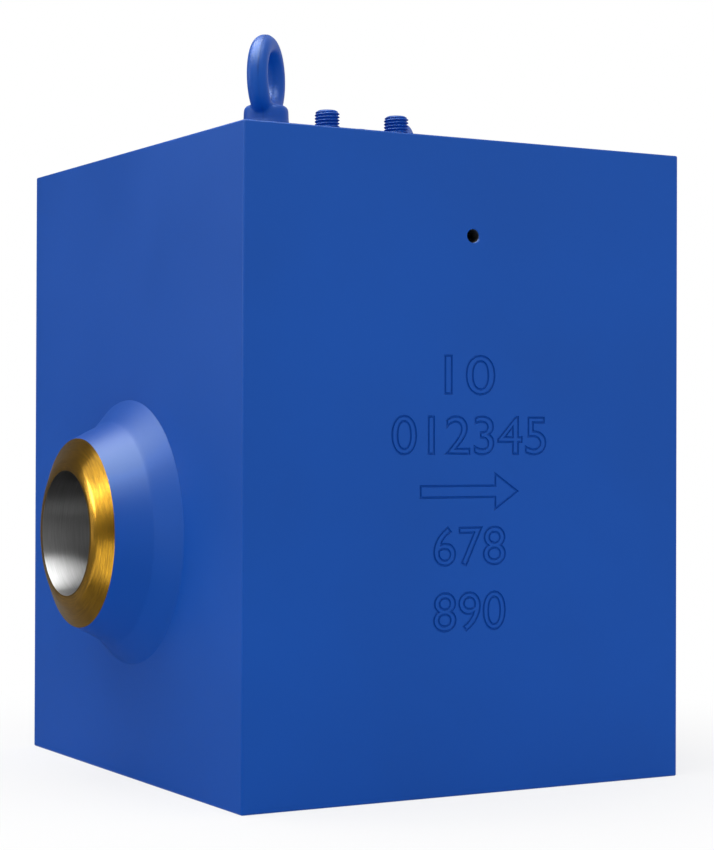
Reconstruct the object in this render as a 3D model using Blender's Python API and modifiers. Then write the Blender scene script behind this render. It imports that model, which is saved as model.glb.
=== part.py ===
"""A square-bodied swing check valve with a pressure-seal cover, for a butt-welded 4 inch line.

The flow runs along +X, the block stands on Z = 0 and the pipe axis crosses its middle.
"""

from math import asin, atan2, cos, hypot, pi, radians, sin, sqrt

import bmesh
import bpy
from mathutils import Vector

# Driving dimensions, in metres and degrees
BLOCK_LENGTH = 0.300
BLOCK_WIDTH = 0.312
EDGE_BREAK = 0.001
PORT_HEIGHT = 0.150
PORT_RADIUS = 0.0377
PIPE_WALL = 0.01945

# Weld ends, from the land at the tip to the root on the block
LAND_WIDTH = 0.0023
LIP_WIDTH = 0.0040
LIP_DEPTH = 0.0017
BEVEL_DEPTH = 0.0060
CONE_FLARE = 0.01035
CONE_DEPTH = 0.0217
LEDGE_WIDTH = 0.0010
ROOT_FLARE = 0.0121
ROOT_DEPTH = 0.0115

# Clearances
SEATED = 0.0003
RUNNING = 0.0003
THREAD_FIT = 0.0003
STUD_PASSAGE = 0.0008
SWING_CLEARANCE = 0.0035
STOP_CLEARANCE = 0.0006
FLOOR_CLEARANCE = 0.0193
FLOOR_CHAMFER = 0.0064
HORN_HEADROOM = 0.0024
HANGER_HEADROOM = 0.0030

# Seat ring and disc
SEAT_TILT = 5.0
SEAT_SETBACK = 0.042
SEAT_WALL = 0.0093
SEAT_LENGTH = 0.042
SEAT_LAP = 0.0053
DISC_RIM = 0.0075
DISC_RELIEF = 0.0010
DISC_CROWN = 0.0105
DISC_CROWN_INSET = 0.0070
DISC_BOSS_RADIUS = 0.0140
DISC_BOSS_HEIGHT = 0.0197
DISC_STUD_RADIUS = 0.0090
DISC_STUD_TIP = 0.0030
OPEN_ANGLE = 70.0

# Hinge arm, from the seat face and the disc axis
HINGE_FORWARD = 0.016
HINGE_MARGIN = 0.011
HINGE_HUB_RADIUS = 0.0125
HINGE_HUB_WIDTH = 0.0314
HINGE_PIN_RADIUS = 0.0070
ARM_PLATE = 0.0120
ARM_EYE_RADIUS = 0.0200
HORN_RADIUS = 0.0060
HORN_WIDTH = 0.0160
DISC_WASHER_WALL = 0.0060
DISC_WASHER_THICKNESS = 0.0025
DISC_NUT_FLATS = 0.0270
DISC_NUT_HEIGHT = 0.0120
NUT_SLOT_WIDTH = 0.0040
NUT_SLOT_DEPTH = 0.0048
COTTER_RADIUS = 0.0015
COTTER_OVERHANG = 0.0030
COTTER_HEAD_RADIUS = 0.0026
COTTER_HEAD = 0.0025

# Hanger bracket, its bushings, pin and screws
LUG_THICKNESS = 0.0120
LUG_WALL = 0.0050
LUG_SPREAD_BACK = 0.0212
LUG_SPREAD_FRONT = 0.0065
BUSHING_WALL = 0.0027
HANGER_THICKNESS = 0.0137
HANGER_WINDOW_RADIUS = 0.0440
HANGER_WINDOW_OFFSET = 0.0180
PIN_HEAD = 0.0035
PIN_HEAD_LIP = 0.0030
PIN_TAIL = 0.0040
CIRCLIP_THICKNESS = 0.0015
CIRCLIP_GROOVE = 0.0010
CIRCLIP_WALL = 0.0037
HANGER_SCREW_RADIUS = 0.0030
HANGER_SCREW_HEAD_RADIUS = 0.0050
HANGER_SCREW_HEAD = 0.0060
HANGER_SCREW_REACH = 0.0100
HANGER_SCREW_SOCKET = 0.0025
HANGER_SCREW_INSET = 0.0072
HANGER_SCREWS = 4

# Neck of the body, from the shoulder up
SHOULDER_WIDTH = 0.0120
COVER_BODY = 0.0260
COVER_RECESS_DEPTH = 0.0080
COVER_RECESS_MARGIN = 0.0200
COVER_RECESS_SLOPE = 0.0120
COVER_TAPER_HEIGHT = 0.0160
COVER_TAPER_WIDTH = 0.0112
SEAL_FOOT = 0.0035
SPACER_WIDTH = 0.0185
SPACER_HEIGHT = 0.0140
GROOVE_HEIGHT = 0.0240
GROOVE_DEPTH = 0.0120
SEGMENT_INSET = 0.0025
SEGMENT_SPACING = 0.0010
SEGMENTS = 4
TOP_LAND = 0.0290
COVER_NECK_RISE = 0.0170
RETAINER_THICKNESS = 0.0160
RETAINER_LEDGE = 0.0160

# Cover studs, washers and nuts
STUDS = 4
STUD_RADIUS = 0.0080
STUD_EDGE = 0.0222
STUD_TURN = 44.2
STUD_ENGAGEMENT = 0.0320
STUD_TIP = 0.0018
STUD_STANDOUT = 0.0130
STUD_REAR_DROP = 0.0022
WASHER_RADIUS = 0.0150
WASHER_THICKNESS = 0.0030
NUT_FLATS = 0.0240
NUT_HEIGHT = 0.0148
NUT_CHAMFER_SLOPE = 0.6

# Knock-out hole and lifting eyes
KNOCK_OUT_RADIUS = 0.0040
EYE_INSET = 0.0283
EYE_RING_RADIUS = 0.0187
EYE_STOCK_RADIUS = 0.0061
EYE_RISE = 0.0284
EYE_TURN = 47.2
EYE_COLLAR_RADIUS = 0.0135
EYE_COLLAR_HEIGHT = 0.0130
EYE_COLLAR_ROUND = 0.0030
EYE_SHANK_RADIUS = 0.0060
EYE_SHANK_LENGTH = 0.0205

# Facets
ROUND_LARGE = 48
ROUND_MEDIUM = 32
ROUND_SMALL = 16
CUT_MARGIN = 0.010

# Sizes that follow from those above
TILT = radians(SEAT_TILT)
PIPE_RADIUS = PORT_RADIUS + PIPE_WALL
HUB_ROOT_RADIUS = PIPE_RADIUS + CONE_FLARE + LEDGE_WIDTH + ROOT_FLARE
HUB_REACH = ROOT_DEPTH + CONE_DEPTH + BEVEL_DEPTH + LIP_DEPTH
DISC_RADIUS = PORT_RADIUS + SEAT_LAP
SEAT_RADIUS = PORT_RADIUS + SEAT_WALL
ARM_BACK = DISC_BOSS_HEIGHT + RUNNING
ARM_FRONT = ARM_BACK + ARM_PLATE
HINGE_RISE = DISC_RADIUS + HINGE_MARGIN
PIN_X = -SEAT_SETBACK + HINGE_FORWARD * cos(TILT) - HINGE_RISE * sin(TILT)
PIN_Z = PORT_HEIGHT + HINGE_FORWARD * sin(TILT) + HINGE_RISE * cos(TILT)
DISC_WASHER_BASE = ARM_FRONT + RUNNING
DISC_NUT_BASE = DISC_WASHER_BASE + DISC_WASHER_THICKNESS + SEATED
DISC_NUT_TOP = DISC_NUT_BASE + DISC_NUT_HEIGHT
DISC_STUD_END = DISC_NUT_TOP + DISC_STUD_TIP


def swung_reach(forward, rise, angle):
    """The world X that a point of the swinging group reaches, given from the pin in the seat's frame."""
    turn = TILT + radians(angle)
    return PIN_X + forward * cos(turn) - rise * sin(turn)


RIM_OPEN = swung_reach(DISC_RIM - HINGE_FORWARD, -HINGE_RISE - DISC_RADIUS, OPEN_ANGLE)
RIM_CLOSED = hypot(SEAT_SETBACK, DISC_RADIUS)
CHAMBER_RADIUS = max(RIM_OPEN, RIM_CLOSED) + SWING_CLEARANCE
CHAMBER_FLOOR = PORT_HEIGHT - DISC_RADIUS - FLOOR_CLEARANCE
STOP_WALL = sqrt(CHAMBER_RADIUS**2 - (HORN_WIDTH / 2) ** 2)
HORN_REACH = (STOP_WALL - STOP_CLEARANCE - HORN_RADIUS + PIN_X) / sin(TILT + radians(OPEN_ANGLE))
SHOULDER_Z = PIN_Z + HORN_REACH * cos(TILT) + HORN_RADIUS + HORN_HEADROOM
NECK_RADIUS = CHAMBER_RADIUS + SHOULDER_WIDTH
HANGER_BASE = SHOULDER_Z + SEATED
HANGER_TOP = HANGER_BASE + HANGER_THICKNESS
COVER_BASE = HANGER_TOP + HANGER_HEADROOM
COVER_RADIUS = NECK_RADIUS - SEATED
TAPER_BASE = COVER_BASE + COVER_BODY
TAPER_TOP = TAPER_BASE + COVER_TAPER_HEIGHT
COVER_NECK_RADIUS = NECK_RADIUS - SPACER_WIDTH
SPACER_BASE = TAPER_TOP + SEATED
GROOVE_BASE = SPACER_BASE + SPACER_HEIGHT
GROOVE_TOP = GROOVE_BASE + GROOVE_HEIGHT
GROOVE_RADIUS = NECK_RADIUS + GROOVE_DEPTH
RECESS_BASE = GROOVE_TOP + TOP_LAND
BLOCK_HEIGHT = RECESS_BASE + RETAINER_THICKNESS
COVER_TOP = GROOVE_TOP + COVER_NECK_RISE
RETAINER_RADIUS = NECK_RADIUS + RETAINER_LEDGE
STUD_CIRCLE = COVER_NECK_RADIUS - STUD_EDGE
WASHER_BASE = BLOCK_HEIGHT + SEATED
NUT_BASE = WASHER_BASE + WASHER_THICKNESS + SEATED
STUD_TOP = NUT_BASE + NUT_HEIGHT + STUD_STANDOUT
STUD_BASE = COVER_TOP - STUD_ENGAGEMENT
HANGER_SCREW_CIRCLE = NECK_RADIUS - HANGER_SCREW_INSET
LUG_INNER = HINGE_HUB_WIDTH / 2 + RUNNING
LUG_OUTER = LUG_INNER + LUG_THICKNESS
BUSHING_BORE = HINGE_PIN_RADIUS + RUNNING
BUSHING_RADIUS = BUSHING_BORE + BUSHING_WALL
LUG_BORE = BUSHING_RADIUS + SEATED
LUG_RADIUS = LUG_BORE + LUG_WALL
EYE_PLACES = ((-1, -1), (1, 1))

BLUE = (0.028, 0.098, 0.376)
STEEL = (0.56, 0.56, 0.57)
DARK_STEEL = (0.20, 0.20, 0.21)
BRONZE = (0.55, 0.33, 0.12)
GRAPHITE = (0.035, 0.035, 0.038)


def clear_scene():
    for obj in list(bpy.data.objects):
        bpy.data.objects.remove(obj, do_unlink=True)


def new_collection(name):
    made = bpy.data.collections.new(name)
    bpy.context.scene.collection.children.link(made)
    return made


def paint(name, colour, roughness, metallic):
    made = bpy.data.materials.new(name)
    made.use_nodes = True
    shader = made.node_tree.nodes["Principled BSDF"]
    shader.inputs["Base Color"].default_value = (*colour, 1.0)
    shader.inputs["Roughness"].default_value = roughness
    shader.inputs["Metallic"].default_value = metallic
    return made


def add_object(name, mesh, parent=None, place=(0, 0, 0), turn=(0, 0, 0)):
    """A mesh object in the valve's collection, placed in its parent's frame."""
    obj = bpy.data.objects.new(name, mesh)
    VALVE.objects.link(obj)
    obj.parent = parent
    obj.location = place
    obj.rotation_euler = turn
    return obj


def as_cutter(obj):
    """Moves a helper out of the valve's collection, so that it only cuts or joins."""
    VALVE.objects.unlink(obj)
    CUTTERS.objects.link(obj)
    obj.hide_render = True
    obj.display_type = "WIRE"
    return obj


def empty(name, place, turn=(0, 0, 0), parent=None):
    made = bpy.data.objects.new(name, None)
    VALVE.objects.link(made)
    made.location = place
    made.rotation_euler = turn
    made.parent = parent
    made.empty_display_size = 0.02
    return made


def finish(obj, material, sharp=35):
    """Gives a piece its material and smooth shading between its sharp edges."""
    obj.data.materials.clear()
    obj.data.materials.append(material)
    obj.data.shade_smooth()
    obj.data.set_sharp_from_angle(angle=radians(sharp))
    return obj


def boolean(obj, operation, other):
    cut = obj.modifiers.new(other.name, "BOOLEAN")
    cut.operation = operation
    cut.object = other
    cut.solver = "EXACT"
    return obj


def settle(obj):
    """Turns an object with modifiers into a plain mesh object in the same place.

    A turned or filled shape still has loose seams to weld, and the result of a Boolean has none.
    """
    bpy.context.view_layer.update()
    graph = bpy.context.evaluated_depsgraph_get()
    mesh = bpy.data.meshes.new_from_object(obj.evaluated_get(graph))
    mesh.name = obj.name
    if obj.type != "MESH":
        made = add_object(obj.name + "_mesh", mesh, obj.parent, obj.location, obj.rotation_euler)
        name = obj.name
        bpy.data.objects.remove(obj, do_unlink=True)
        made.name = name
        obj = made
    cut = any(modifier.type == "BOOLEAN" for modifier in obj.modifiers)
    obj.modifiers.clear()
    obj.data = mesh
    if not cut:
        weld(mesh)
    return obj


def weld(mesh):
    work = bmesh.new()
    work.from_mesh(mesh)
    bmesh.ops.remove_doubles(work, verts=work.verts, dist=1e-6)
    bmesh.ops.recalc_face_normals(work, faces=work.faces)
    work.to_mesh(mesh)
    work.free()


# Turns for a shape whose own axis is Z
ALONG_X = (0, pi / 2, 0)
ALONG_MINUS_X = (0, -pi / 2, 0)
ALONG_Y = (-pi / 2, 0, 0)


def turned(name, profile, sides, ring=False, phase=0.0, **placing):
    """A solid of revolution about Z, from (radius, height) points down the outer side.

    Phase turns its facets, so that their edges stay off those of a shape on the same axis.
    """
    mesh = bpy.data.meshes.new(name)
    edges = [(i, i + 1) for i in range(len(profile) - 1)]
    if ring:
        edges.append((len(profile) - 1, 0))
    mesh.from_pydata([(r * cos(phase), r * sin(phase), z) for r, z in profile], edges, [])
    obj = add_object(name, mesh, **placing)
    screw = obj.modifiers.new("Turn", "SCREW")
    screw.steps = screw.render_steps = sides
    screw.use_merge_vertices = True
    screw.merge_threshold = 1e-6
    return settle(obj)


def rod(name, radius, base, top, sides, **placing):
    return turned(name, [(0, top), (radius, top), (radius, base), (0, base)], sides, **placing)


def sleeve(name, bore, radius, base, top, sides, **placing):
    profile = [(bore, top), (radius, top), (radius, base), (bore, base)]
    return turned(name, profile, sides, ring=True, **placing)


def box(name, size, **placing):
    mesh = bpy.data.meshes.new(name)
    work = bmesh.new()
    bmesh.ops.create_cube(work, size=1.0)
    bmesh.ops.scale(work, vec=Vector(size), verts=work.verts)
    work.to_mesh(mesh)
    work.free()
    return add_object(name, mesh, **placing)


def arc(centre, radius, start, end, steps):
    """Points along an arc, both ends included, with its angles in degrees."""
    angles = [radians(start + (end - start) * i / steps) for i in range(steps + 1)]
    return [(centre[0] + radius * cos(a), centre[1] + radius * sin(a)) for a in angles]


def plate(name, outline, thickness, **placing):
    """A flat outline in XY, extruded by half its thickness both ways along Z."""
    curve = bpy.data.curves.new(name, "CURVE")
    curve.dimensions = "2D"
    curve.fill_mode = "BOTH"
    curve.extrude = thickness / 2
    spline = curve.splines.new("POLY")
    spline.points.add(len(outline) - 1)
    for point, (x, y) in zip(spline.points, outline):
        point.co = (x, y, 0, 1)
    spline.use_cyclic_u = True
    return settle(add_object(name, curve, **placing))


def hex_nut(name, across_flats, height, bore, **placing):
    """A hexagon nut on Z = 0 with its corners chamfered at both ends."""
    corner = across_flats / sqrt(3)
    chamfer = (corner - across_flats / 2) * NUT_CHAMFER_SLOPE
    mesh = bpy.data.meshes.new(name)
    work = bmesh.new()
    bmesh.ops.create_cone(
        work, cap_ends=True, segments=6, radius1=corner, radius2=corner, depth=height
    )
    bmesh.ops.translate(work, vec=(0, 0, height / 2), verts=work.verts)
    work.to_mesh(mesh)
    work.free()
    nut = add_object(name, mesh, **placing)
    flat = across_flats / 2
    barrel = turned(
        name + "_chamfer",
        [(0, height), (flat, height), (corner, height - chamfer), (corner, chamfer), (flat, 0), (0, 0)],
        ROUND_SMALL + 4,
        **placing,
    )
    hole = rod(name + "_hole", bore, -CUT_MARGIN, height + CUT_MARGIN, ROUND_SMALL, **placing)
    boolean(nut, "INTERSECT", as_cutter(barrel))
    boolean(nut, "DIFFERENCE", as_cutter(hole))
    return nut


def copies_on_circle(source, count, radius, start, material):
    """Puts the source piece, and copies that share its mesh, round the valve's vertical axis."""
    finish(settle(source), material)
    name = source.name
    height = source.location.z
    for i in range(count):
        angle = radians(start + 360 * i / count)
        piece = source if i == 0 else add_object(name, source.data)
        piece.name = f"{name}_{i + 1}"
        piece.location = (radius * cos(angle), radius * sin(angle), height)
        piece.rotation_euler.z = angle


def holes_on_circle(target, name, count, radius, start, hole_radius, base, top):
    for i in range(count):
        angle = radians(start + 360 * i / count)
        place = (radius * cos(angle), radius * sin(angle), 0)
        hole = rod(f"{name}_{i + 1}", hole_radius, base, top, ROUND_SMALL, place=place)
        boolean(target, "DIFFERENCE", as_cutter(hole))


def weld_hub(name, side):
    """A weld end turned on the pipe axis, from its land to a root sunk in the block."""
    tip = HUB_REACH
    lip_edge = tip - LIP_DEPTH
    bevel_root = lip_edge - BEVEL_DEPTH
    land = PORT_RADIUS + LAND_WIDTH
    cone_root = PIPE_RADIUS + CONE_FLARE
    profile = [
        (0, tip),
        (land, tip),
        (land + LIP_WIDTH, lip_edge),
        (PIPE_RADIUS, bevel_root),
        (cone_root, ROOT_DEPTH),
        (cone_root + LEDGE_WIDTH, ROOT_DEPTH),
        (HUB_ROOT_RADIUS, 0),
        (HUB_ROOT_RADIUS, -CUT_MARGIN),
        (0, -CUT_MARGIN),
    ]
    turn = ALONG_X if side > 0 else ALONG_MINUS_X
    place = (side * BLOCK_LENGTH / 2, 0, PORT_HEIGHT)
    return turned(name, profile, ROUND_LARGE, phase=pi / ROUND_LARGE, place=place, turn=turn)


def neck_cavity():
    """The hollow from the retainer's recess down to the chamber floor."""
    above = BLOCK_HEIGHT + CUT_MARGIN
    profile = [
        (0, above),
        (RETAINER_RADIUS, above),
        (RETAINER_RADIUS, RECESS_BASE),
        (NECK_RADIUS, RECESS_BASE),
        (NECK_RADIUS, GROOVE_TOP),
        (GROOVE_RADIUS, GROOVE_TOP),
        (GROOVE_RADIUS, GROOVE_BASE),
        (NECK_RADIUS, GROOVE_BASE),
        (NECK_RADIUS, SHOULDER_Z),
        (CHAMBER_RADIUS, SHOULDER_Z),
        (CHAMBER_RADIUS, CHAMBER_FLOOR + FLOOR_CHAMFER),
        (CHAMBER_RADIUS - FLOOR_CHAMFER, CHAMBER_FLOOR),
        (0, CHAMBER_FLOOR),
    ]
    return turned("neck_cavity", profile, ROUND_LARGE)


def flow_bore():
    """The port from end to end, widened behind the seat face to hold the seat ring."""
    half = BLOCK_LENGTH / 2 + HUB_REACH + CUT_MARGIN
    pocket = SEAT_RADIUS + SEATED
    back = -SEAT_SETBACK - SEAT_LENGTH - SEATED
    profile = [
        (0, half),
        (PORT_RADIUS, half),
        (PORT_RADIUS, 0),
        (pocket, 0),
        (pocket, back),
        (PORT_RADIUS, back),
        (PORT_RADIUS, -half),
        (0, -half),
    ]
    return turned("flow_bore", profile, ROUND_LARGE, place=(0, 0, PORT_HEIGHT), turn=ALONG_X)


def build_body():
    size = (BLOCK_LENGTH, BLOCK_WIDTH, BLOCK_HEIGHT)
    body = box("body_block", size, place=(0, 0, BLOCK_HEIGHT / 2))
    edges = body.modifiers.new("Broken edges", "BEVEL")
    edges.width = EDGE_BREAK
    edges.segments = 2
    boolean(body, "UNION", as_cutter(weld_hub("inlet_hub", -1)))
    boolean(body, "UNION", as_cutter(weld_hub("outlet_hub", 1)))
    boolean(body, "DIFFERENCE", as_cutter(neck_cavity()))
    boolean(body, "DIFFERENCE", as_cutter(flow_bore()))
    groove_middle = (0, 0, (GROOVE_BASE + GROOVE_TOP) / 2)
    outside = -BLOCK_WIDTH / 2 - CUT_MARGIN
    inside = -GROOVE_RADIUS + GROOVE_DEPTH / 2
    knock_out = rod(
        "knock_out_hole", KNOCK_OUT_RADIUS, outside, inside, ROUND_SMALL,
        place=groove_middle, turn=ALONG_Y,
    )
    boolean(body, "DIFFERENCE", as_cutter(knock_out))
    for side_x, side_y in EYE_PLACES:
        hole = rod(
            "eye_hole", EYE_SHANK_RADIUS + THREAD_FIT,
            BLOCK_HEIGHT - EYE_SHANK_LENGTH - THREAD_FIT, BLOCK_HEIGHT + CUT_MARGIN, ROUND_SMALL,
            place=eye_place(side_x, side_y, 0),
        )
        boolean(body, "DIFFERENCE", as_cutter(hole))
    holes_on_circle(
        body, "hanger_hole", HANGER_SCREWS, HANGER_SCREW_CIRCLE, 45,
        HANGER_SCREW_RADIUS + THREAD_FIT,
        SHOULDER_Z - HANGER_SCREW_REACH - HANGER_SCREW_RADIUS, SHOULDER_Z + CUT_MARGIN,
    )
    finish(settle(body), BLUE_PAINT)


def build_seat_ring(seat_frame):
    """The ring is bored straight along the port, and only its seating face leans back."""
    on_port = {"place": (0, 0, PORT_HEIGHT), "turn": ALONG_X}
    back = -SEAT_SETBACK - SEAT_LENGTH
    ring = sleeve("seat_ring", PORT_RADIUS, SEAT_RADIUS, back, 0, ROUND_LARGE, **on_port)
    size = 4 * SEAT_RADIUS
    front = box("seat_face", (size, size, size), parent=seat_frame, place=(size / 2, 0, 0))
    boolean(ring, "DIFFERENCE", as_cutter(front))
    finish(settle(ring), HARD_STEEL)


def build_disc(disc_frame):
    """The disc with its stud, turned on the axis that leans with the seat."""
    crown = DISC_RADIUS - DISC_CROWN_INSET
    relief = PORT_RADIUS - DISC_RELIEF
    profile = [
        (0, DISC_STUD_END),
        (DISC_STUD_RADIUS - DISC_RELIEF, DISC_STUD_END),
        (DISC_STUD_RADIUS, DISC_STUD_END - DISC_RELIEF),
        (DISC_STUD_RADIUS, DISC_BOSS_HEIGHT),
        (DISC_BOSS_RADIUS, DISC_BOSS_HEIGHT),
        (DISC_BOSS_RADIUS + DISC_RELIEF, (DISC_BOSS_HEIGHT + DISC_CROWN) / 2),
        (crown, DISC_CROWN),
        (DISC_RADIUS, DISC_RIM),
        (DISC_RADIUS, SEATED + DISC_RELIEF),
        (DISC_RADIUS - DISC_RELIEF, SEATED),
        (relief + 2 * DISC_RELIEF, SEATED),
        (relief, SEATED + DISC_RELIEF),
        (0, SEATED + DISC_RELIEF),
    ]
    disc = turned("disc", profile, ROUND_LARGE, parent=disc_frame, turn=ALONG_X)
    hole = rod(
        "cotter_passage", COTTER_RADIUS + RUNNING, -2 * DISC_STUD_RADIUS, 2 * DISC_STUD_RADIUS,
        ROUND_SMALL, parent=disc_frame, place=(cotter_height(), 0, 0), turn=ALONG_Y,
    )
    boolean(disc, "DIFFERENCE", as_cutter(hole))
    finish(settle(disc), HARD_STEEL)


def cotter_height():
    return DISC_NUT_TOP - NUT_SLOT_DEPTH / 2


def build_disc_fasteners(disc_frame):
    washer = sleeve(
        "disc_washer", DISC_STUD_RADIUS + SEATED, DISC_STUD_RADIUS + SEATED + DISC_WASHER_WALL,
        DISC_WASHER_BASE, DISC_WASHER_BASE + DISC_WASHER_THICKNESS, ROUND_SMALL + 8,
        parent=disc_frame, turn=ALONG_X,
    )
    finish(washer, BARE_STEEL)
    nut = hex_nut(
        "disc_nut", DISC_NUT_FLATS, DISC_NUT_HEIGHT, DISC_STUD_RADIUS + THREAD_FIT,
        parent=disc_frame, place=(DISC_NUT_BASE, 0, 0), turn=ALONG_X,
    )
    for i in range(3):
        slot = box(
            f"nut_slot_{i + 1}", (2 * NUT_SLOT_DEPTH, 2 * DISC_NUT_FLATS, NUT_SLOT_WIDTH),
            parent=disc_frame, place=(DISC_NUT_TOP, 0, 0), turn=(i * pi / 3, 0, 0),
        )
        boolean(nut, "DIFFERENCE", as_cutter(slot))
    finish(settle(nut), BARE_STEEL)
    half = DISC_NUT_FLATS / 2 + COTTER_OVERHANG
    head = -half - COTTER_HEAD
    profile = [
        (0, half),
        (COTTER_RADIUS, half),
        (COTTER_RADIUS, -half),
        (COTTER_HEAD_RADIUS, -half),
        (COTTER_HEAD_RADIUS, head),
        (0, head),
    ]
    cotter = turned(
        "disc_cotter_pin", profile, ROUND_SMALL // 2 + 2,
        parent=disc_frame, place=(cotter_height(), 0, 0), turn=ALONG_Y,
    )
    finish(cotter, BARE_STEEL)


def arm_side_outline():
    """The arm seen along the pin: eye plate, hub round the pin and the stop horn above it."""
    hub = (0, 0)
    back = ARM_BACK - HINGE_FORWARD
    front = ARM_FRONT - HINGE_FORWARD
    foot = -HINGE_RISE - ARM_EYE_RADIUS
    horn = (0, HORN_REACH)
    lean = 180 / pi * asin(HORN_RADIUS / HINGE_HUB_RADIUS)
    under = 180 / pi * atan2(-sqrt(HINGE_HUB_RADIUS**2 - back**2), back)
    outline = [(back, foot), (front, foot), (front, -HINGE_HUB_RADIUS)]
    outline += arc(hub, HINGE_HUB_RADIUS, 35, 90 - lean, 3)
    outline += arc(horn, HORN_RADIUS, 0, 180, 8)
    outline += arc(hub, HINGE_HUB_RADIUS, 90 + lean, 360 + under, 12)
    return outline


def arm_front_outline():
    """The arm seen along the disc axis: the round eye widens into the hub, then narrows to the horn."""
    eye = (0, -HINGE_RISE)
    half = HINGE_HUB_WIDTH / 2
    horn = HORN_WIDTH / 2
    top = HORN_REACH + 2 * HORN_RADIUS
    hub_top = HINGE_HUB_RADIUS + RUNNING
    hub_foot = -2 * HINGE_HUB_RADIUS
    return [
        *arc(eye, ARM_EYE_RADIUS, 165, 375, 24),
        (half, hub_foot),
        (half, hub_top),
        (horn, hub_top),
        (horn, top),
        (-horn, top),
        (-horn, hub_top),
        (-half, hub_top),
        (-half, hub_foot),
    ]


def build_arm(hinge_frame):
    """The arm is what its side and front outlines have in common, bored for pin and disc stud."""
    wide = 3 * ARM_EYE_RADIUS
    arm = plate(
        "hinge_arm", arm_side_outline(), wide, parent=hinge_frame, turn=(pi / 2, 0, 0)
    )
    front = plate(
        "arm_front", arm_front_outline(), 2 * wide, parent=hinge_frame, turn=(pi / 2, 0, pi / 2)
    )
    boolean(arm, "INTERSECT", as_cutter(front))
    pin_bore = rod(
        "arm_pin_bore", HINGE_PIN_RADIUS + RUNNING, -wide, wide, ROUND_SMALL + 4,
        parent=hinge_frame, turn=ALONG_Y,
    )
    stud_bore = rod(
        "arm_stud_bore", DISC_STUD_RADIUS + RUNNING, -wide, wide, ROUND_SMALL + 4,
        parent=hinge_frame, place=(0, 0, -HINGE_RISE), turn=ALONG_X,
    )
    boolean(arm, "DIFFERENCE", as_cutter(pin_bore))
    boolean(arm, "DIFFERENCE", as_cutter(stud_bore))
    finish(settle(arm), CAST_STEEL)


def build_hinge_pin(pin_frame):
    """Pin with a head at one lug and a circlip groove past the other."""
    face = LUG_OUTER + RUNNING
    clip_base = face
    clip_top = clip_base + CIRCLIP_THICKNESS + 2 * SEATED
    tail = clip_top + PIN_TAIL
    groove = HINGE_PIN_RADIUS - CIRCLIP_GROOVE
    head_radius = HINGE_PIN_RADIUS + PIN_HEAD_LIP
    profile = [
        (0, tail),
        (groove, tail),
        (HINGE_PIN_RADIUS, tail - CIRCLIP_GROOVE),
        (HINGE_PIN_RADIUS, clip_top),
        (groove, clip_top),
        (groove, clip_base),
        (HINGE_PIN_RADIUS, clip_base),
        (HINGE_PIN_RADIUS, -face),
        (head_radius, -face),
        (head_radius, -face - PIN_HEAD),
        (0, -face - PIN_HEAD),
    ]
    pin = turned("hinge_pin", profile, ROUND_SMALL + 4, parent=pin_frame, turn=ALONG_Y)
    finish(pin, HARD_STEEL)
    bore = groove + SEATED
    clip = sleeve(
        "pin_circlip", bore, bore + CIRCLIP_WALL, clip_base + SEATED,
        clip_base + SEATED + CIRCLIP_THICKNESS, ROUND_SMALL + 4, parent=pin_frame, turn=ALONG_Y,
    )
    finish(clip, DARK_METAL)


def build_bushings(pin_frame):
    for side, name in ((-1, "hinge_bushing_1"), (1, "hinge_bushing_2")):
        ends = sorted((side * LUG_INNER, side * LUG_OUTER))
        bushing = sleeve(
            name, BUSHING_BORE, BUSHING_RADIUS, *ends, ROUND_SMALL + 4,
            parent=pin_frame, turn=ALONG_Y,
        )
        finish(bushing, BRONZE_METAL)


def lug_outline():
    """A lug seen along the pin, in world X and Z from the pin axis."""
    top = HANGER_BASE + HANGER_THICKNESS / 2 - PIN_Z
    back = (-LUG_SPREAD_BACK, top)
    front = (LUG_SPREAD_FRONT, top)
    return [front, back, *arc((0, 0), LUG_RADIUS, 180, 360, 18)]


def build_hanger(pin_frame):
    """A ring on the body's shoulder with two lugs down to the hinge pin."""
    hanger = rod("hanger_bracket", COVER_RADIUS, HANGER_BASE, HANGER_TOP, ROUND_LARGE)
    window = rod(
        "hanger_window", HANGER_WINDOW_RADIUS, HANGER_BASE - CUT_MARGIN, HANGER_TOP + CUT_MARGIN,
        ROUND_MEDIUM, place=(HANGER_WINDOW_OFFSET, 0, 0),
    )
    for side in (-1, 1):
        middle = side * (LUG_INNER + LUG_OUTER) / 2
        lug = plate(
            f"hanger_lug_{side}", lug_outline(), LUG_THICKNESS,
            parent=pin_frame, place=(0, middle, 0), turn=(pi / 2, 0, 0),
        )
        boolean(hanger, "UNION", as_cutter(lug))
    boolean(hanger, "DIFFERENCE", as_cutter(window))
    bore = rod(
        "lug_bore", LUG_BORE, -2 * LUG_OUTER, 2 * LUG_OUTER, ROUND_SMALL + 4,
        parent=pin_frame, turn=ALONG_Y,
    )
    boolean(hanger, "DIFFERENCE", as_cutter(bore))
    holes_on_circle(
        hanger, "hanger_clearance", HANGER_SCREWS, HANGER_SCREW_CIRCLE, 45,
        HANGER_SCREW_RADIUS + THREAD_FIT, HANGER_BASE - CUT_MARGIN, HANGER_TOP + CUT_MARGIN,
    )
    holes_on_circle(
        hanger, "hanger_counterbore", HANGER_SCREWS, HANGER_SCREW_CIRCLE, 45,
        HANGER_SCREW_HEAD_RADIUS + SEATED, screw_head_base() - SEATED, HANGER_TOP + CUT_MARGIN,
    )
    finish(settle(hanger), CAST_STEEL)


def screw_head_base():
    return HANGER_TOP - SEATED - HANGER_SCREW_HEAD


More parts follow.
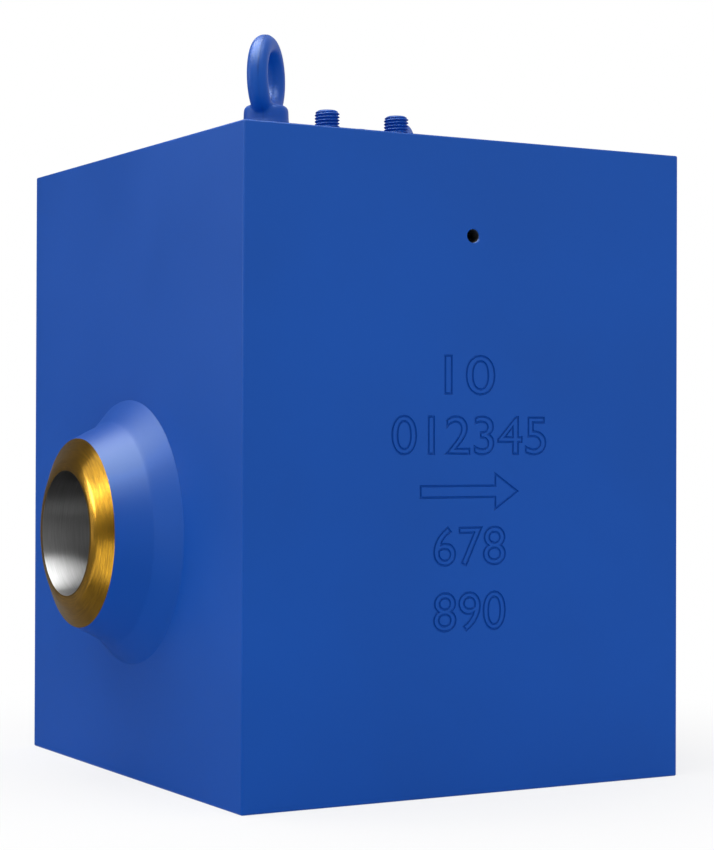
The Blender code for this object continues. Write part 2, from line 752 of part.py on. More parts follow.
def build_hanger_screws():
    base = screw_head_base()
    length = base - SHOULDER_Z + HANGER_SCREW_REACH
    profile = [
        (0, HANGER_SCREW_HEAD),
        (HANGER_SCREW_HEAD_RADIUS, HANGER_SCREW_HEAD),
        (HANGER_SCREW_HEAD_RADIUS, 0),
        (HANGER_SCREW_RADIUS, 0),
        (HANGER_SCREW_RADIUS, -length),
        (0, -length),
    ]
    screw = turned("hanger_screw", profile, ROUND_SMALL, place=(0, 0, base))
    socket_mesh = bpy.data.meshes.new("screw_socket")
    work = bmesh.new()
    bmesh.ops.create_cone(
        work, cap_ends=True, segments=6, radius1=HANGER_SCREW_SOCKET,
        radius2=HANGER_SCREW_SOCKET, depth=HANGER_SCREW_HEAD,
    )
    work.to_mesh(socket_mesh)
    work.free()
    socket = add_object("screw_socket", socket_mesh, place=(0, 0, base + HANGER_SCREW_HEAD))
    boolean(screw, "DIFFERENCE", as_cutter(socket))
    copies_on_circle(screw, HANGER_SCREWS, HANGER_SCREW_CIRCLE, 45, DARK_METAL)


def taper_radius(height):
    """Radius of the cover's sealing taper at a height."""
    return COVER_RADIUS - COVER_TAPER_WIDTH * (height - TAPER_BASE) / COVER_TAPER_HEIGHT


def build_cover():
    """The pressure-seal cover: a plug with a sealing taper and a neck that takes the studs."""
    recess = COVER_RADIUS - COVER_RECESS_MARGIN
    edge = 2 * EDGE_BREAK
    profile = [
        (0, COVER_TOP),
        (COVER_NECK_RADIUS - edge, COVER_TOP),
        (COVER_NECK_RADIUS, COVER_TOP - edge),
        (COVER_NECK_RADIUS, TAPER_TOP),
        (taper_radius(TAPER_TOP), TAPER_TOP),
        (COVER_RADIUS, TAPER_BASE),
        (COVER_RADIUS, COVER_BASE + edge),
        (COVER_RADIUS - edge, COVER_BASE),
        (recess, COVER_BASE),
        (recess - COVER_RECESS_SLOPE, COVER_BASE + COVER_RECESS_DEPTH),
        (0, COVER_BASE + COVER_RECESS_DEPTH),
    ]
    cover = turned("seal_cover", profile, ROUND_LARGE)
    holes_on_circle(
        cover, "stud_hole", STUDS, STUD_CIRCLE, STUD_TURN, STUD_RADIUS + THREAD_FIT,
        STUD_BASE - STUD_REAR_DROP - THREAD_FIT, COVER_TOP + CUT_MARGIN,
    )
    finish(settle(cover), CAST_STEEL)


def build_seal_and_spacer():
    foot = TAPER_BASE + SEAL_FOOT
    seal = [
        (taper_radius(TAPER_TOP) + SEATED, TAPER_TOP),
        (COVER_RADIUS, TAPER_TOP),
        (COVER_RADIUS, foot),
        (taper_radius(foot) + SEATED, foot),
    ]
    finish(turned("seal_ring", seal, ROUND_LARGE, ring=True), GRAPHITE_FILL)
    spacer = sleeve(
        "spacer_ring", COVER_NECK_RADIUS + SEATED, COVER_RADIUS, SPACER_BASE,
        GROOVE_BASE, ROUND_LARGE,
    )
    finish(spacer, HARD_STEEL)


def build_segments():
    """Thrust segments that lock the cover under the groove, with a small gap between their ends."""
    inner = COVER_NECK_RADIUS + SEGMENT_INSET
    outer = GROOVE_RADIUS - SEATED
    half = 180 / SEGMENTS
    inner_trim = 180 / pi * asin(SEGMENT_SPACING / 2 / inner)
    outer_trim = 180 / pi * asin(SEGMENT_SPACING / 2 / outer)
    outline = arc((0, 0), outer, -half + outer_trim, half - outer_trim, ROUND_LARGE // SEGMENTS)
    outline += arc((0, 0), inner, half - inner_trim, -half + inner_trim, ROUND_LARGE // SEGMENTS)
    middle = (GROOVE_BASE + GROOVE_TOP) / 2
    segment = plate(
        "thrust_segment", outline, GROOVE_HEIGHT - 2 * SEATED, place=(0, 0, middle)
    )
    copies_on_circle(segment, SEGMENTS, 0, -90, HARD_STEEL)


def build_retainer():
    edge = EDGE_BREAK
    radius = RETAINER_RADIUS - SEATED
    base = RECESS_BASE + SEATED
    profile = [
        (0, BLOCK_HEIGHT),
        (radius - edge, BLOCK_HEIGHT),
        (radius, BLOCK_HEIGHT - edge),
        (radius, base),
        (0, base),
    ]
    retainer = turned("retainer_plate", profile, ROUND_LARGE)
    holes_on_circle(
        retainer, "stud_passage", STUDS, STUD_CIRCLE, STUD_TURN, STUD_RADIUS + STUD_PASSAGE,
        RECESS_BASE - CUT_MARGIN, BLOCK_HEIGHT + CUT_MARGIN,
    )
    finish(settle(retainer), BLUE_PAINT)


def build_cover_fasteners():
    tip = STUD_RADIUS - STUD_TIP
    stud = turned(
        "cover_stud",
        [
            (0, STUD_TOP),
            (tip, STUD_TOP),
            (STUD_RADIUS, STUD_TOP - STUD_TIP),
            (STUD_RADIUS, STUD_BASE + STUD_TIP),
            (tip, STUD_BASE),
            (0, STUD_BASE),
        ],
        ROUND_SMALL + 4,
    )
    copies_on_circle(stud, STUDS, STUD_CIRCLE, STUD_TURN, BLUE_PAINT)
    for i in range(1, STUDS + 1):
        if bpy.data.objects[f"cover_stud_{i}"].location.y > 0:
            bpy.data.objects[f"cover_stud_{i}"].location.z -= STUD_REAR_DROP
    washer = sleeve(
        "cover_washer", STUD_RADIUS + SEATED, WASHER_RADIUS, 0, WASHER_THICKNESS,
        ROUND_SMALL + 4, place=(0, 0, WASHER_BASE),
    )
    copies_on_circle(washer, STUDS, STUD_CIRCLE, STUD_TURN, BLUE_PAINT)
    nut = hex_nut(
        "cover_nut", NUT_FLATS, NUT_HEIGHT, STUD_RADIUS + THREAD_FIT, place=(0, 0, NUT_BASE)
    )
    copies_on_circle(nut, STUDS, STUD_CIRCLE, STUD_TURN, BLUE_PAINT)


def eye_place(side_x, side_y, height):
    x = side_x * (BLOCK_LENGTH / 2 - EYE_INSET)
    y = side_y * (BLOCK_WIDTH / 2 - EYE_INSET)
    return (x, y, height)


def build_lifting_eye(name, side_x, side_y):
    """A forged eye bolt whose ring stands near the block's diagonal plane."""
    placing = {
        "place": eye_place(side_x, side_y, BLOCK_HEIGHT + SEATED),
        "turn": (0, 0, radians(EYE_TURN)),
    }
    round_points = arc(
        (EYE_COLLAR_RADIUS - EYE_COLLAR_ROUND, EYE_COLLAR_HEIGHT - EYE_COLLAR_ROUND),
        EYE_COLLAR_ROUND, 90, 0, 4,
    )
    profile = [
        (0, EYE_COLLAR_HEIGHT),
        *round_points,
        (EYE_COLLAR_RADIUS, 0),
        (EYE_SHANK_RADIUS, 0),
        (EYE_SHANK_RADIUS, -EYE_SHANK_LENGTH),
        (0, -EYE_SHANK_LENGTH),
    ]
    eye = turned(name, profile, ROUND_SMALL + 8, **placing)
    bpy.ops.mesh.primitive_torus_add(
        major_segments=28, minor_segments=12,
        major_radius=EYE_RING_RADIUS, minor_radius=EYE_STOCK_RADIUS,
    )
    torus = bpy.context.active_object
    ring_mesh = torus.data
    bpy.data.objects.remove(torus, do_unlink=True)
    x, y, base = placing["place"]
    ring = add_object(
        name + "_ring", ring_mesh, place=(x, y, base + EYE_RISE), turn=(pi / 2, 0, radians(EYE_TURN))
    )
    boolean(eye, "UNION", as_cutter(ring))
    finish(settle(eye), BLUE_PAINT)


def build_valve():
    seat_frame = empty("seat_frame", (-SEAT_SETBACK, 0, PORT_HEIGHT), (0, -TILT, 0))
    pin_frame = empty("pin_frame", (PIN_X, 0, PIN_Z))
    hinge_frame = empty("hinge_axis", (PIN_X, 0, PIN_Z), (0, -TILT, 0))
    disc_frame = empty("disc_axis", (-HINGE_FORWARD, 0, -HINGE_RISE), parent=hinge_frame)
    build_body()
    build_seat_ring(seat_frame)
    build_disc(disc_frame)
    build_disc_fasteners(disc_frame)
    build_arm(hinge_frame)
    build_hinge_pin(pin_frame)
    build_bushings(pin_frame)
    build_hanger(pin_frame)
    build_hanger_screws()
    build_cover()
    build_seal_and_spacer()
    build_segments()
    build_retainer()
    build_cover_fasteners()
    build_lifting_eye("lifting_eye_front", *EYE_PLACES[0])
    build_lifting_eye("lifting_eye_rear", *EYE_PLACES[1])


clear_scene()
VALVE = new_collection("non_return_valve")
CUTTERS = new_collection("cutters")
BLUE_PAINT = paint("blue_paint", BLUE, 0.42, 0.0)
HARD_STEEL = paint("machined_steel", STEEL, 0.28, 1.0)
BARE_STEEL = paint("bare_steel", STEEL, 0.38, 1.0)
CAST_STEEL = paint("forged_steel", DARK_STEEL, 0.5, 1.0)
DARK_METAL = paint("blackened_steel", DARK_STEEL, 0.4, 1.0)
BRONZE_METAL = paint("bronze", BRONZE, 0.35, 1.0)
GRAPHITE_FILL = paint("graphite", GRAPHITE, 0.6, 0.0)
build_valve()
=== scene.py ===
"""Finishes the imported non-return valve: enamel, engraved marks, varnished bevels, threads, eye bolts."""

from contextlib import contextmanager
from functools import partial
from math import atan2, cos, exp, hypot, pi, radians, sin, sqrt

import bmesh
import bpy
from bpy.props import FloatProperty, FloatVectorProperty, PointerProperty
from mathutils import Euler, Matrix, Vector


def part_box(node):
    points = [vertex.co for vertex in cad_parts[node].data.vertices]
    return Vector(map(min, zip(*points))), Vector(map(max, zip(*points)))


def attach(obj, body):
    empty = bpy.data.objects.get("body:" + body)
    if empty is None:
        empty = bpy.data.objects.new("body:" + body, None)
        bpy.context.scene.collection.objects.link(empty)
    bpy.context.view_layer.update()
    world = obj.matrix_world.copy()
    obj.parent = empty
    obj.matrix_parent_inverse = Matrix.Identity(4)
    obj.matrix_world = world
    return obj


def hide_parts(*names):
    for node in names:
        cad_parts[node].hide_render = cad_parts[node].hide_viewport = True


bl_info = {
    "name": "Non-Return Valve Finish",
    "version": (1, 0, 0),
    "blender": (4, 5, 0),
    "location": "3D View > Sidebar > Valve",
    "description": "Builds the visible surfaces of a square-bodied non-return valve",
    "category": "Object",
}

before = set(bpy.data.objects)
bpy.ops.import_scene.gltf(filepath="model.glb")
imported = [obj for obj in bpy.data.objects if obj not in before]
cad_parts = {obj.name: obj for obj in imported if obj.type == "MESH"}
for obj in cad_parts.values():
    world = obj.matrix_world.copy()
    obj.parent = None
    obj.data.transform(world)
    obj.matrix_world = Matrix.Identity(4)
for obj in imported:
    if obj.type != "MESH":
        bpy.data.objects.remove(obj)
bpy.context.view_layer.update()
CASING, ARM, CLOSER = "casing", "arm", "closer"


def middle(node):
    """The centre of a CAD node's box."""
    low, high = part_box(node)
    return (low + high) / 2


def radius_of(node):
    """Half the width of a round CAD node."""
    low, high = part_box(node)
    return (high[0] - low[0]) / 2


def numbered(name):
    """The four CAD nodes of one kind."""
    return [f"{name}_{i}" for i in range(1, 5)]


# The block; all but its half length and the clearance is read from the CAD nodes
FACE_X = 0.150
FACE_Y = -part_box("body_block")[0][1]
BLOCK_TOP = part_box("body_block")[1][2]
PORT_HEIGHT = middle("seat_ring")[2]
SEATED = 0.0003

# The weld ends, outward from the block's face
PORT_RADIUS = 0.0377
PIPE_RADIUS = 0.05715
LAND_RADIUS = PORT_RADIUS + 0.0023
CREST_RADIUS = LAND_RADIUS + 0.0040
CONE_ROOT = PIPE_RADIUS + 0.01035
LEDGE_RADIUS = CONE_ROOT + 0.0010
HUB_RADIUS = LEDGE_RADIUS + 0.0121
ROOT_REACH = 0.0115
BEVEL_REACH = ROOT_REACH + 0.0217
CREST_REACH = BEVEL_REACH + 0.0060
TIP_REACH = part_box("body_block")[1][0] - FACE_X
SEAT_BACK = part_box("seat_ring")[0][0] - SEATED
SEAT_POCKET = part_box("seat_ring")[1][1] + SEATED
INSIDE_X = -0.020

# The neck and the small holes, fitted to the pieces that fill them
GROOVE_DEPTH, SHOULDER_WIDTH, SCREW_REACH, FLOOR_DROP = 0.0120, 0.0120, 0.0100, 0.0623
RECESS_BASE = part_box("retainer_plate")[0][2] - SEATED
RECESS_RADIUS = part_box("retainer_plate")[1][0] + SEATED
NECK_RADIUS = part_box("seal_cover")[1][0] + SEATED
GROOVE_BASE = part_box("spacer_ring")[1][2]
GROOVE_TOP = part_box("thrust_segment_1")[1][2] + SEATED
GROOVE_RADIUS = NECK_RADIUS + GROOVE_DEPTH
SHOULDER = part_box("hanger_screw_1")[0][2] + SCREW_REACH
CHAMBER_RADIUS = NECK_RADIUS - SHOULDER_WIDTH
CHAMBER_FLOOR = PORT_HEIGHT - FLOOR_DROP
FLOOR_CHAMFER = 0.0064
RECESS_BREAK = 0.0006
KNOCK_OUT_HEIGHT = (GROOVE_BASE + GROOVE_TOP) / 2
KNOCK_OUT_RADIUS = 0.0040
KNOCK_OUT_MOUTH = 0.0005
SCREW_HOLE_RADIUS = 0.0033
EYE_HOLE_RADIUS = 0.0063

# The cover's fasteners and their plate
STUD_CIRCLE = hypot(*middle("cover_stud_1")[:2])
STUD_TURN = atan2(middle("cover_stud_1")[1], middle("cover_stud_1")[0])
STUD_THREAD = 0.036
STUD_PASSAGE = 0.0008
ROWS_PER_TURN = 10
PLATE_RIM = 0.0010
NUT_FLATS = 0.0240
NUT_FACE_SHARE = 0.97
NUT_CHAMFER_SLOPE = 0.55
NUT_LEAD = 0.0011
NUT_EDGE = 0.00025
WASHER_RADIUS = 0.0150
WASHER_RIM = 0.0004

# The eye bolts, outward from their seat on the block
EYE_TURN = radians(47.2)
EYE_RING = 0.0187
EYE_STOCK = 0.0061
EYE_COLLAR = 0.0135
EYE_COLLAR_HEIGHT = 0.0130
EYE_SHANK = 0.0060
EYE_PITCH, EYE_THREAD = 0.00175, 0.0010
SEAM = "seam"
SEAM_OFFSET, SEAM_WIDTH = -0.0019, 0.0005

# Facets round a circle, and how far a cutter overshoots
FINE, MEDIUM, SMALL = 160, 64, 32
OVERCUT = 0.010

# The engraved marks on the front face, in metres from its middle and from the foot
ARROW_TAIL, ARROW_NECK, ARROW_TIP = -0.0355, 0.0158, 0.0313
ARROW_HEIGHT, ARROW_SHAFT, ARROW_HEAD = 0.1768, 0.0033, 0.0102
DIGIT_ROWS = (
    ("10", -0.0190, 0.0150, 0.2335, 0.2560),
    ("012345", -0.0547, 0.0514, 0.1985, 0.2205),
    ("678", -0.0264, 0.0227, 0.1340, 0.1560),
    ("890", -0.0264, 0.0227, 0.0960, 0.1180),
)

# The body's finishes, in the order of its materials
PAINTED, VARNISHED, BORED, INNER = range(4)
BORE_UV = "bore_marks"

# The camera, matched to the photograph
CAMERA_PLACE = Vector((-0.681604, -1.216595, 0.206052))
CAMERA_YAW, CAMERA_PITCH, CAMERA_ROLL = radians(29.6536), radians(0.42506), radians(0.18437)
CAMERA_LENS, CAMERA_SENSOR = 91.36, 36.0


# Meshes

def link(name, data):
    """An object on the scene's own collection."""
    obj = bpy.data.objects.new(name, data)
    bpy.context.scene.collection.objects.link(obj)
    return obj


def discard(*objects):
    """Removes helper objects and their meshes."""
    for obj in objects:
        data = obj.data
        bpy.data.objects.remove(obj)
        bpy.data.meshes.remove(data)


@contextmanager
def editing(mesh):
    """A bmesh of a mesh, written back at the end."""
    work = bmesh.new()
    work.from_mesh(mesh)
    yield work
    work.to_mesh(mesh)
    work.free()


def settled(name, work):
    """A linked object from a bmesh, its doubles merged and its faces turned outwards."""
    bmesh.ops.remove_doubles(work, verts=work.verts, dist=1e-7)
    bmesh.ops.recalc_face_normals(work, faces=work.faces)
    mesh = bpy.data.meshes.new(name)
    work.to_mesh(mesh)
    work.free()
    return link(name, mesh)


def evaluated_mesh(obj):
    """The mesh that an object's modifiers or curves come to."""
    graph = bpy.context.evaluated_depsgraph_get()
    graph.update()
    return bpy.data.meshes.new_from_object(obj.evaluated_get(graph), depsgraph=graph)


def baked(obj):
    """obj with its modifiers turned into its own mesh."""
    mesh = evaluated_mesh(obj)
    obj.modifiers.clear()
    old = obj.data
    obj.data = mesh
    if old.users == 0:
        bpy.data.meshes.remove(old)
    mesh.name = obj.name
    return obj


def along(axis, place=(0, 0, 0)):
    """A placing that lays a shape's own Z along a world axis."""
    turn = Vector((0, 0, 1)).rotation_difference(Vector(axis))
    return Matrix.Translation(Vector(place)) @ turn.to_matrix().to_4x4()


def bridge(work, rings, closed):
    """Faces between neighbouring rings of vertices; a ring of one vertex is a pole."""
    pairs = list(zip(rings, rings[1:]))
    if closed:
        pairs.append((rings[-1], rings[0]))
    for low, high in pairs:
        sides = max(len(low), len(high))
        for i in range(sides):
            j = (i + 1) % sides
            corners = [low[i % len(low)], low[j % len(low)], high[j % len(high)], high[i % len(high)]]
            work.faces.new(list(dict.fromkeys(corners)))


def turned(name, profile, sides=MEDIUM, place=Matrix(), ring=False, half_step=False):
    """A closed shape from a profile of radius and height, turned round Z and then placed."""
    work = bmesh.new()
    start = pi / sides if half_step else 0.0
    spokes = [(cos(start + 2 * pi * i / sides), sin(start + 2 * pi * i / sides)) for i in range(sides)]
    rings = []
    for radius, height in profile:
        if radius < 1e-7:
            rings.append([work.verts.new((0, 0, height))])
        else:
            rings.append([work.verts.new((radius * c, radius * s, height)) for c, s in spokes])
    bridge(work, rings, ring)
    work.transform(place)
    return settled(name, work)


def drilled(name, radius, low, high, place):
    """A plain cutter for a hole."""
    return turned(name, [(0, low), (radius, low), (radius, high), (0, high)], SMALL, place)


def combine(obj, tools, operation="DIFFERENCE", crossing=False):
    """Joins tools to obj or cuts them from it, and removes them; crossing lets a tool meet itself."""
    for tool in tools:
        boolean = obj.modifiers.new(tool.name, "BOOLEAN")
        boolean.operation = operation
        boolean.solver = "EXACT"
        boolean.use_self = crossing
        boolean.object = tool
    baked(obj)
    discard(*tools)
    return obj


def break_edges(obj, width, limit):
    """Bevels the edges that turn by more than a limit in degrees."""
    bevel = obj.modifiers.new("Edges", "BEVEL")
    bevel.width = width
    bevel.segments = 2
    bevel.limit_method = "ANGLE"
    bevel.angle_limit = radians(limit)
    return baked(obj)


def smooth(obj, limit=32.0, flat=None):
    """Smooth shading with sharp edges past a limit in degrees; flat picks the faces that stay flat."""
    with editing(obj.data) as work:
        bmesh.ops.dissolve_degenerate(work, dist=1e-7, edges=work.edges)
        for face in work.faces:
            face.smooth = not (flat and flat(face))
        for edge in work.edges:
            edge.smooth = len(edge.link_faces) == 2 and edge.calc_face_angle(pi) < radians(limit)
    return obj


def dress(obj, *materials):
    """Gives obj its materials by name, in the order of its faces' indices."""
    obj.data.materials.clear()
    for material in materials:
        obj.data.materials.append(bpy.data.materials[material])
    return obj


def hand_over(obj, body, slot, *nodes):
    """Hides the CAD nodes that a finished piece stands for and attaches it to the body it rides on; its
    finish, the slot, is not used.
    """
    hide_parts(*nodes)
    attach(obj, body)


# Nodes

def add_inputs(tree, inputs):
    """Named inputs of a node tree, their kinds taken from their defaults."""
    kinds = {float: "Float", int: "Int", tuple: "Vector", type(None): "Object"}
    for label, default in inputs.items():
        kind = f"NodeSocket{kinds[type(default)]}"
        socket = tree.interface.new_socket(label, in_out="INPUT", socket_type=kind)
        if default is not None:
            socket.default_value = default


def new_group(name, inputs, outputs):
    """A shader node group that puts out numbers, and its two ends."""
    group = bpy.data.node_groups.new(name, "ShaderNodeTree")
    add_inputs(group, inputs)
    for label in outputs:
        group.interface.new_socket(label, in_out="OUTPUT", socket_type="NodeSocketFloat")
    return group, group.nodes.new("NodeGroupInput").outputs, group.nodes.new("NodeGroupOutput").inputs


def new_tree(name, inputs):
    """A geometry tree with named inputs, its two ends and a material input."""
    tree = bpy.data.node_groups.new(name, "GeometryNodeTree")
    tree.interface.new_socket("Geometry", in_out="OUTPUT", socket_type="NodeSocketGeometry")
    add_inputs(tree, inputs)
    tree.interface.new_socket("Material", in_out="INPUT", socket_type="NodeSocketMaterial")
    return tree, tree.nodes.new("NodeGroupInput").outputs, tree.nodes.new("NodeGroupOutput").inputs


def feed(tree, node, **inputs):
    """Links outputs, or sets values, on a node's inputs by name."""
    for label, value in inputs.items():
        socket = node.inputs[label.replace("_", " ")]
        if isinstance(value, bpy.types.NodeSocket):
            tree.links.new(value, socket)
        else:
            socket.default_value = value
    return node


def add_node(tree, kind, **inputs):
    """A node with its inputs fed."""
    return feed(tree, tree.nodes.new(kind), **inputs)


def math_node(tree, operation, first, second=None, clamp=False):
    """A Math node; a number goes on its socket and an output is linked to it."""
    node = tree.nodes.new("ShaderNodeMath")
    node.operation = operation
    node.use_clamp = clamp
    for socket, value in zip(node.inputs, (first, second)):
        if isinstance(value, (int, float)):
            socket.default_value = value
        elif value is not None:
            tree.links.new(value, socket)
    return node.outputs[0]


def mix_colour(tree, factor, first, second):
    """A colour Mix node."""
    node = tree.nodes.new("ShaderNodeMix")
    node.data_type = "RGBA"
    tree.links.new(factor, node.inputs[0])
    for socket, value in ((node.inputs[6], first), (node.inputs[7], second)):
        if isinstance(value, bpy.types.NodeSocket):
            tree.links.new(value, socket)
        else:
            socket.default_value = (*value, 1.0)
    return node.outputs[2]


def mapped(tree, value, low, high, to_low=0.0, to_high=1.0):
    """A Map Range node from one span to another, clamped."""
    spans = {"From_Min": low, "From_Max": high, "To_Min": to_low, "To_Max": to_high}
    return add_node(tree, "ShaderNodeMapRange", Value=value, **spans).outputs["Result"]


def noise(tree, vector, scale, detail, roughness, extra=None):
    """A Noise Texture's value, four-dimensional when there is an extra coordinate."""
    node = tree.nodes.new("ShaderNodeTexNoise")
    if extra is not None:
        node.noise_dimensions = "4D"
        tree.links.new(extra, node.inputs["W"])
    feed(tree, node, Vector=vector, Scale=scale, Detail=detail, Roughness=roughness)
    return node.outputs["Fac"]


def turning_group():
    """Tool marks that run round the Z of the vector it is given, and patches that break them up."""
    group, given, found = new_group(
        "Turning Marks",
        {"Vector": (0, 0, 0), "Lines": 2600.0, "Stretch": 5.0, "Patch Scale": 60.0},
        ("Marks", "Patches"),
    )
    calc = partial(math_node, group)
    vector, lines, stretch = given["Vector"], given["Lines"], given["Stretch"]
    x, y, z = add_node(group, "ShaderNodeSeparateXYZ", Vector=vector).outputs
    radius = calc("SQRT", calc("ADD", calc("MULTIPLY", x, x), calc("MULTIPLY", y, y)))
    angle = calc("ARCTAN2", y, x)
    around = add_node(
        group, "ShaderNodeCombineXYZ", X=calc("MULTIPLY", radius, lines), Y=calc("MULTIPLY", z, lines),
        Z=calc("MULTIPLY", calc("COSINE", angle), stretch),
    ).outputs[0]
    extra = calc("MULTIPLY", calc("SINE", angle), stretch)
    group.links.new(noise(group, around, 1.0, 3.0, 0.6, extra), found["Marks"])
    group.links.new(noise(group, vector, given["Patch Scale"], 3.0, 0.55), found["Patches"])
    return group


def surface_group():
    """Fine grain and broad patches for painted, forged and pressed surfaces."""
    group, given, found = new_group(
        "Surface Grain", {"Vector": (0, 0, 0), "Grain Scale": 900.0, "Patch Scale": 9.0}, ("Grain", "Patches")
    )
    vector = given["Vector"]
    group.links.new(noise(group, vector, given["Grain Scale"], 2.0, 0.55), found["Grain"])
    group.links.new(noise(group, vector, given["Patch Scale"], 3.0, 0.5), found["Patches"])
    return group


def group_node(tree, group, vector, **values):
    """A shader group placed in a material with its own values."""
    node = tree.nodes.new("ShaderNodeGroup")
    node.node_tree = group
    return feed(tree, node, Vector=vector, **values).outputs


# Materials

def principled(material):
    """A material's node tree and its Principled BSDF."""
    material.use_nodes = True
    tree = material.node_tree
    return tree, next(n for n in tree.nodes if n.type == "BSDF_PRINCIPLED")


def new_material(name, metallic, roughness, specular=0.5):
    """A new material's tree, its Principled BSDF and its Object coordinates."""
    tree, shader = principled(bpy.data.materials.new(name))
    feed(tree, shader, Metallic=metallic, Roughness=roughness, Specular_IOR_Level=specular)
    return tree, shader, tree.nodes.new("ShaderNodeTexCoord").outputs["Object"]


def bump(tree, shader, height, distance, strength):
    """Feeds a height to the shader's normal."""
    node = add_node(tree, "ShaderNodeBump", Strength=strength, Distance=distance, Height=height)
    feed(tree, shader, Normal=node.outputs["Normal"])


def moved(tree, vector, place, turn):
    """A pattern's coordinates, centred on a place and then turned."""
    shift = add_node(tree, "ShaderNodeMapping", Vector=vector, Location=[-a for a in place]).outputs[0]
    return add_node(tree, "ShaderNodeMapping", Vector=shift, Rotation=turn).outputs[0]


def paint_material(colours, grain):
    """Satin blue enamel sprayed over machined and forged steel."""
    tree, shader, vector = new_material("BluePaint", 0.0, 0.42, colours.paint_gloss)
    shader.inputs["Specular Tint"].default_value = (*colours.paint_sheen, 1.0)
    found = group_node(tree, grain, vector, Grain_Scale=420.0, Patch_Scale=7.0)
    deep, pale = ([share * c for c in colours.paint] for share in (0.96, 1.04))
    broad = mix_colour(tree, mapped(tree, found["Patches"], 0.35, 0.65), deep, pale)
    seam = tree.nodes.new("ShaderNodeAttribute")
    seam.attribute_name = SEAM
    # Painted shade: along the seam mark the enamel turns towards a deep blue, a dark shade line painted on
    # the eye bolts' raised seam.
    painted_seam_shade = math_node(tree, "MULTIPLY", seam.outputs["Fac"], 0.45)
    feed(
        tree, shader, Base_Color=mix_colour(tree, painted_seam_shade, broad, (0.0, 0.012, 0.09)),
        Roughness=mapped(tree, found["Patches"], 0.3, 0.7, 0.40, 0.48),
    )
    bump(tree, shader, found["Grain"], 0.00004, 0.6)


def varnish_material(colours, turning):
    """Golden rust-preventing varnish on the turned weld bevels."""
    tree, shader, vector = new_material("GoldenVarnish", 1.0, 0.26)
    feed(tree, shader, Coat_Weight=0.20, Coat_Roughness=0.18)
    axis = moved(tree, vector, (0, 0, PORT_HEIGHT), (0, pi / 2, 0))
    found = group_node(tree, turning, axis, Lines=2600.0, Stretch=5.0, Patch_Scale=38.0)
    streaks = mapped(tree, found["Marks"], 0.30, 0.72)
    streaked = mix_colour(tree, streaks, colours.varnish_dark, colours.varnish)
    stains = math_node(tree, "MULTIPLY", mapped(tree, found["Patches"], 0.40, 0.66), 0.55)
    feed(
        tree, shader, Base_Color=mix_colour(tree, stains, streaked, colours.varnish_dark),
        Roughness=mapped(tree, found["Patches"], 0.3, 0.7, 0.12, 0.25),
    )
    bump(tree, shader, found["Marks"], 0.00004, 0.5)


def steel_material(
    name, turning, colour, centre=(0, 0, 0), turn=(0, 0, 0), roughness=(0.24, 0.40), lines=2600.0,
    depth=0.00008,
):
    """Turned or bored steel, its tool marks running round an axis."""
    tree, shader, vector = new_material(name, 1.0, 0.3)
    axis = moved(tree, vector, centre, turn)
    found = group_node(tree, turning, axis, Lines=lines, Stretch=2.5, Patch_Scale=45.0)
    dull = [0.72 * c for c in colour]
    feed(
        tree, shader, Base_Color=mix_colour(tree, mapped(tree, found["Marks"], 0.25, 0.75), dull, colour),
        Roughness=mapped(tree, found["Patches"], 0.3, 0.7, *roughness),
    )
    bump(tree, shader, found["Marks"], depth, 0.5)
    return tree, shader


def stretch_reflections(tree, shader, amount, uv_name):
    """Smears a material's reflections across its tool marks, along U of a UV map."""
    tangent = tree.nodes.new("ShaderNodeTangent")
    tangent.direction_type = "UV_MAP"
    tangent.uv_map = uv_name
    feed(tree, shader, Anisotropic=amount, Tangent=tangent.outputs["Tangent"])


def rough_material(name, grain, colour, metallic, roughness, grain_scale, depth):
    """Forged, blackened or pressed surfaces with an even grain."""
    tree, shader, vector = new_material(name, metallic, roughness)
    found = group_node(tree, grain, vector, Grain_Scale=grain_scale, Patch_Scale=40.0)
    dull = [0.70 * c for c in colour]
    feed(
        tree, shader, Base_Color=mix_colour(tree, mapped(tree, found["Patches"], 0.3, 0.7), dull, colour),
        Roughness=mapped(tree, found["Grain"], 0.3, 0.7, roughness - 0.08, roughness + 0.08),
    )
    bump(tree, shader, found["Grain"], depth, 0.6)


# Settings

class ValveSizes(bpy.types.PropertyGroup):
    """Sizes of the finish that a user would change."""

    edge_break: FloatProperty(
        name="Edge Break", description="Rounding of the block's edges", default=0.0011, unit="LENGTH"
    )
    groove_half_width: FloatProperty(
        name="Groove Half Width", description="Half an engraved line's width", default=0.00068, unit="LENGTH"
    )
    groove_depth: FloatProperty(
        name="Groove Depth", description="Depth of an engraved line", default=0.0010, unit="LENGTH"
    )
    stroke_growth: FloatProperty(
        name="Stroke Growth", description="How far a digit's outline stands off its stroke", default=0.035
    )
    thread_pitch: FloatProperty(
        name="Thread Pitch", description="Pitch of the cover studs", default=0.002, unit="LENGTH"
    )
    thread_depth: FloatProperty(
        name="Thread Depth", description="Depth of the stud thread", default=0.0012, unit="LENGTH"
    )
    eye_voxel: FloatProperty(
        name="Eye Voxel", description="Mesh size of the forged eye bolts", default=0.00055, unit="LENGTH"
    )
    seam_height: FloatProperty(
        name="Seam Height", description="Height of the eye bolts' seam", default=0.00014, unit="LENGTH"
    )


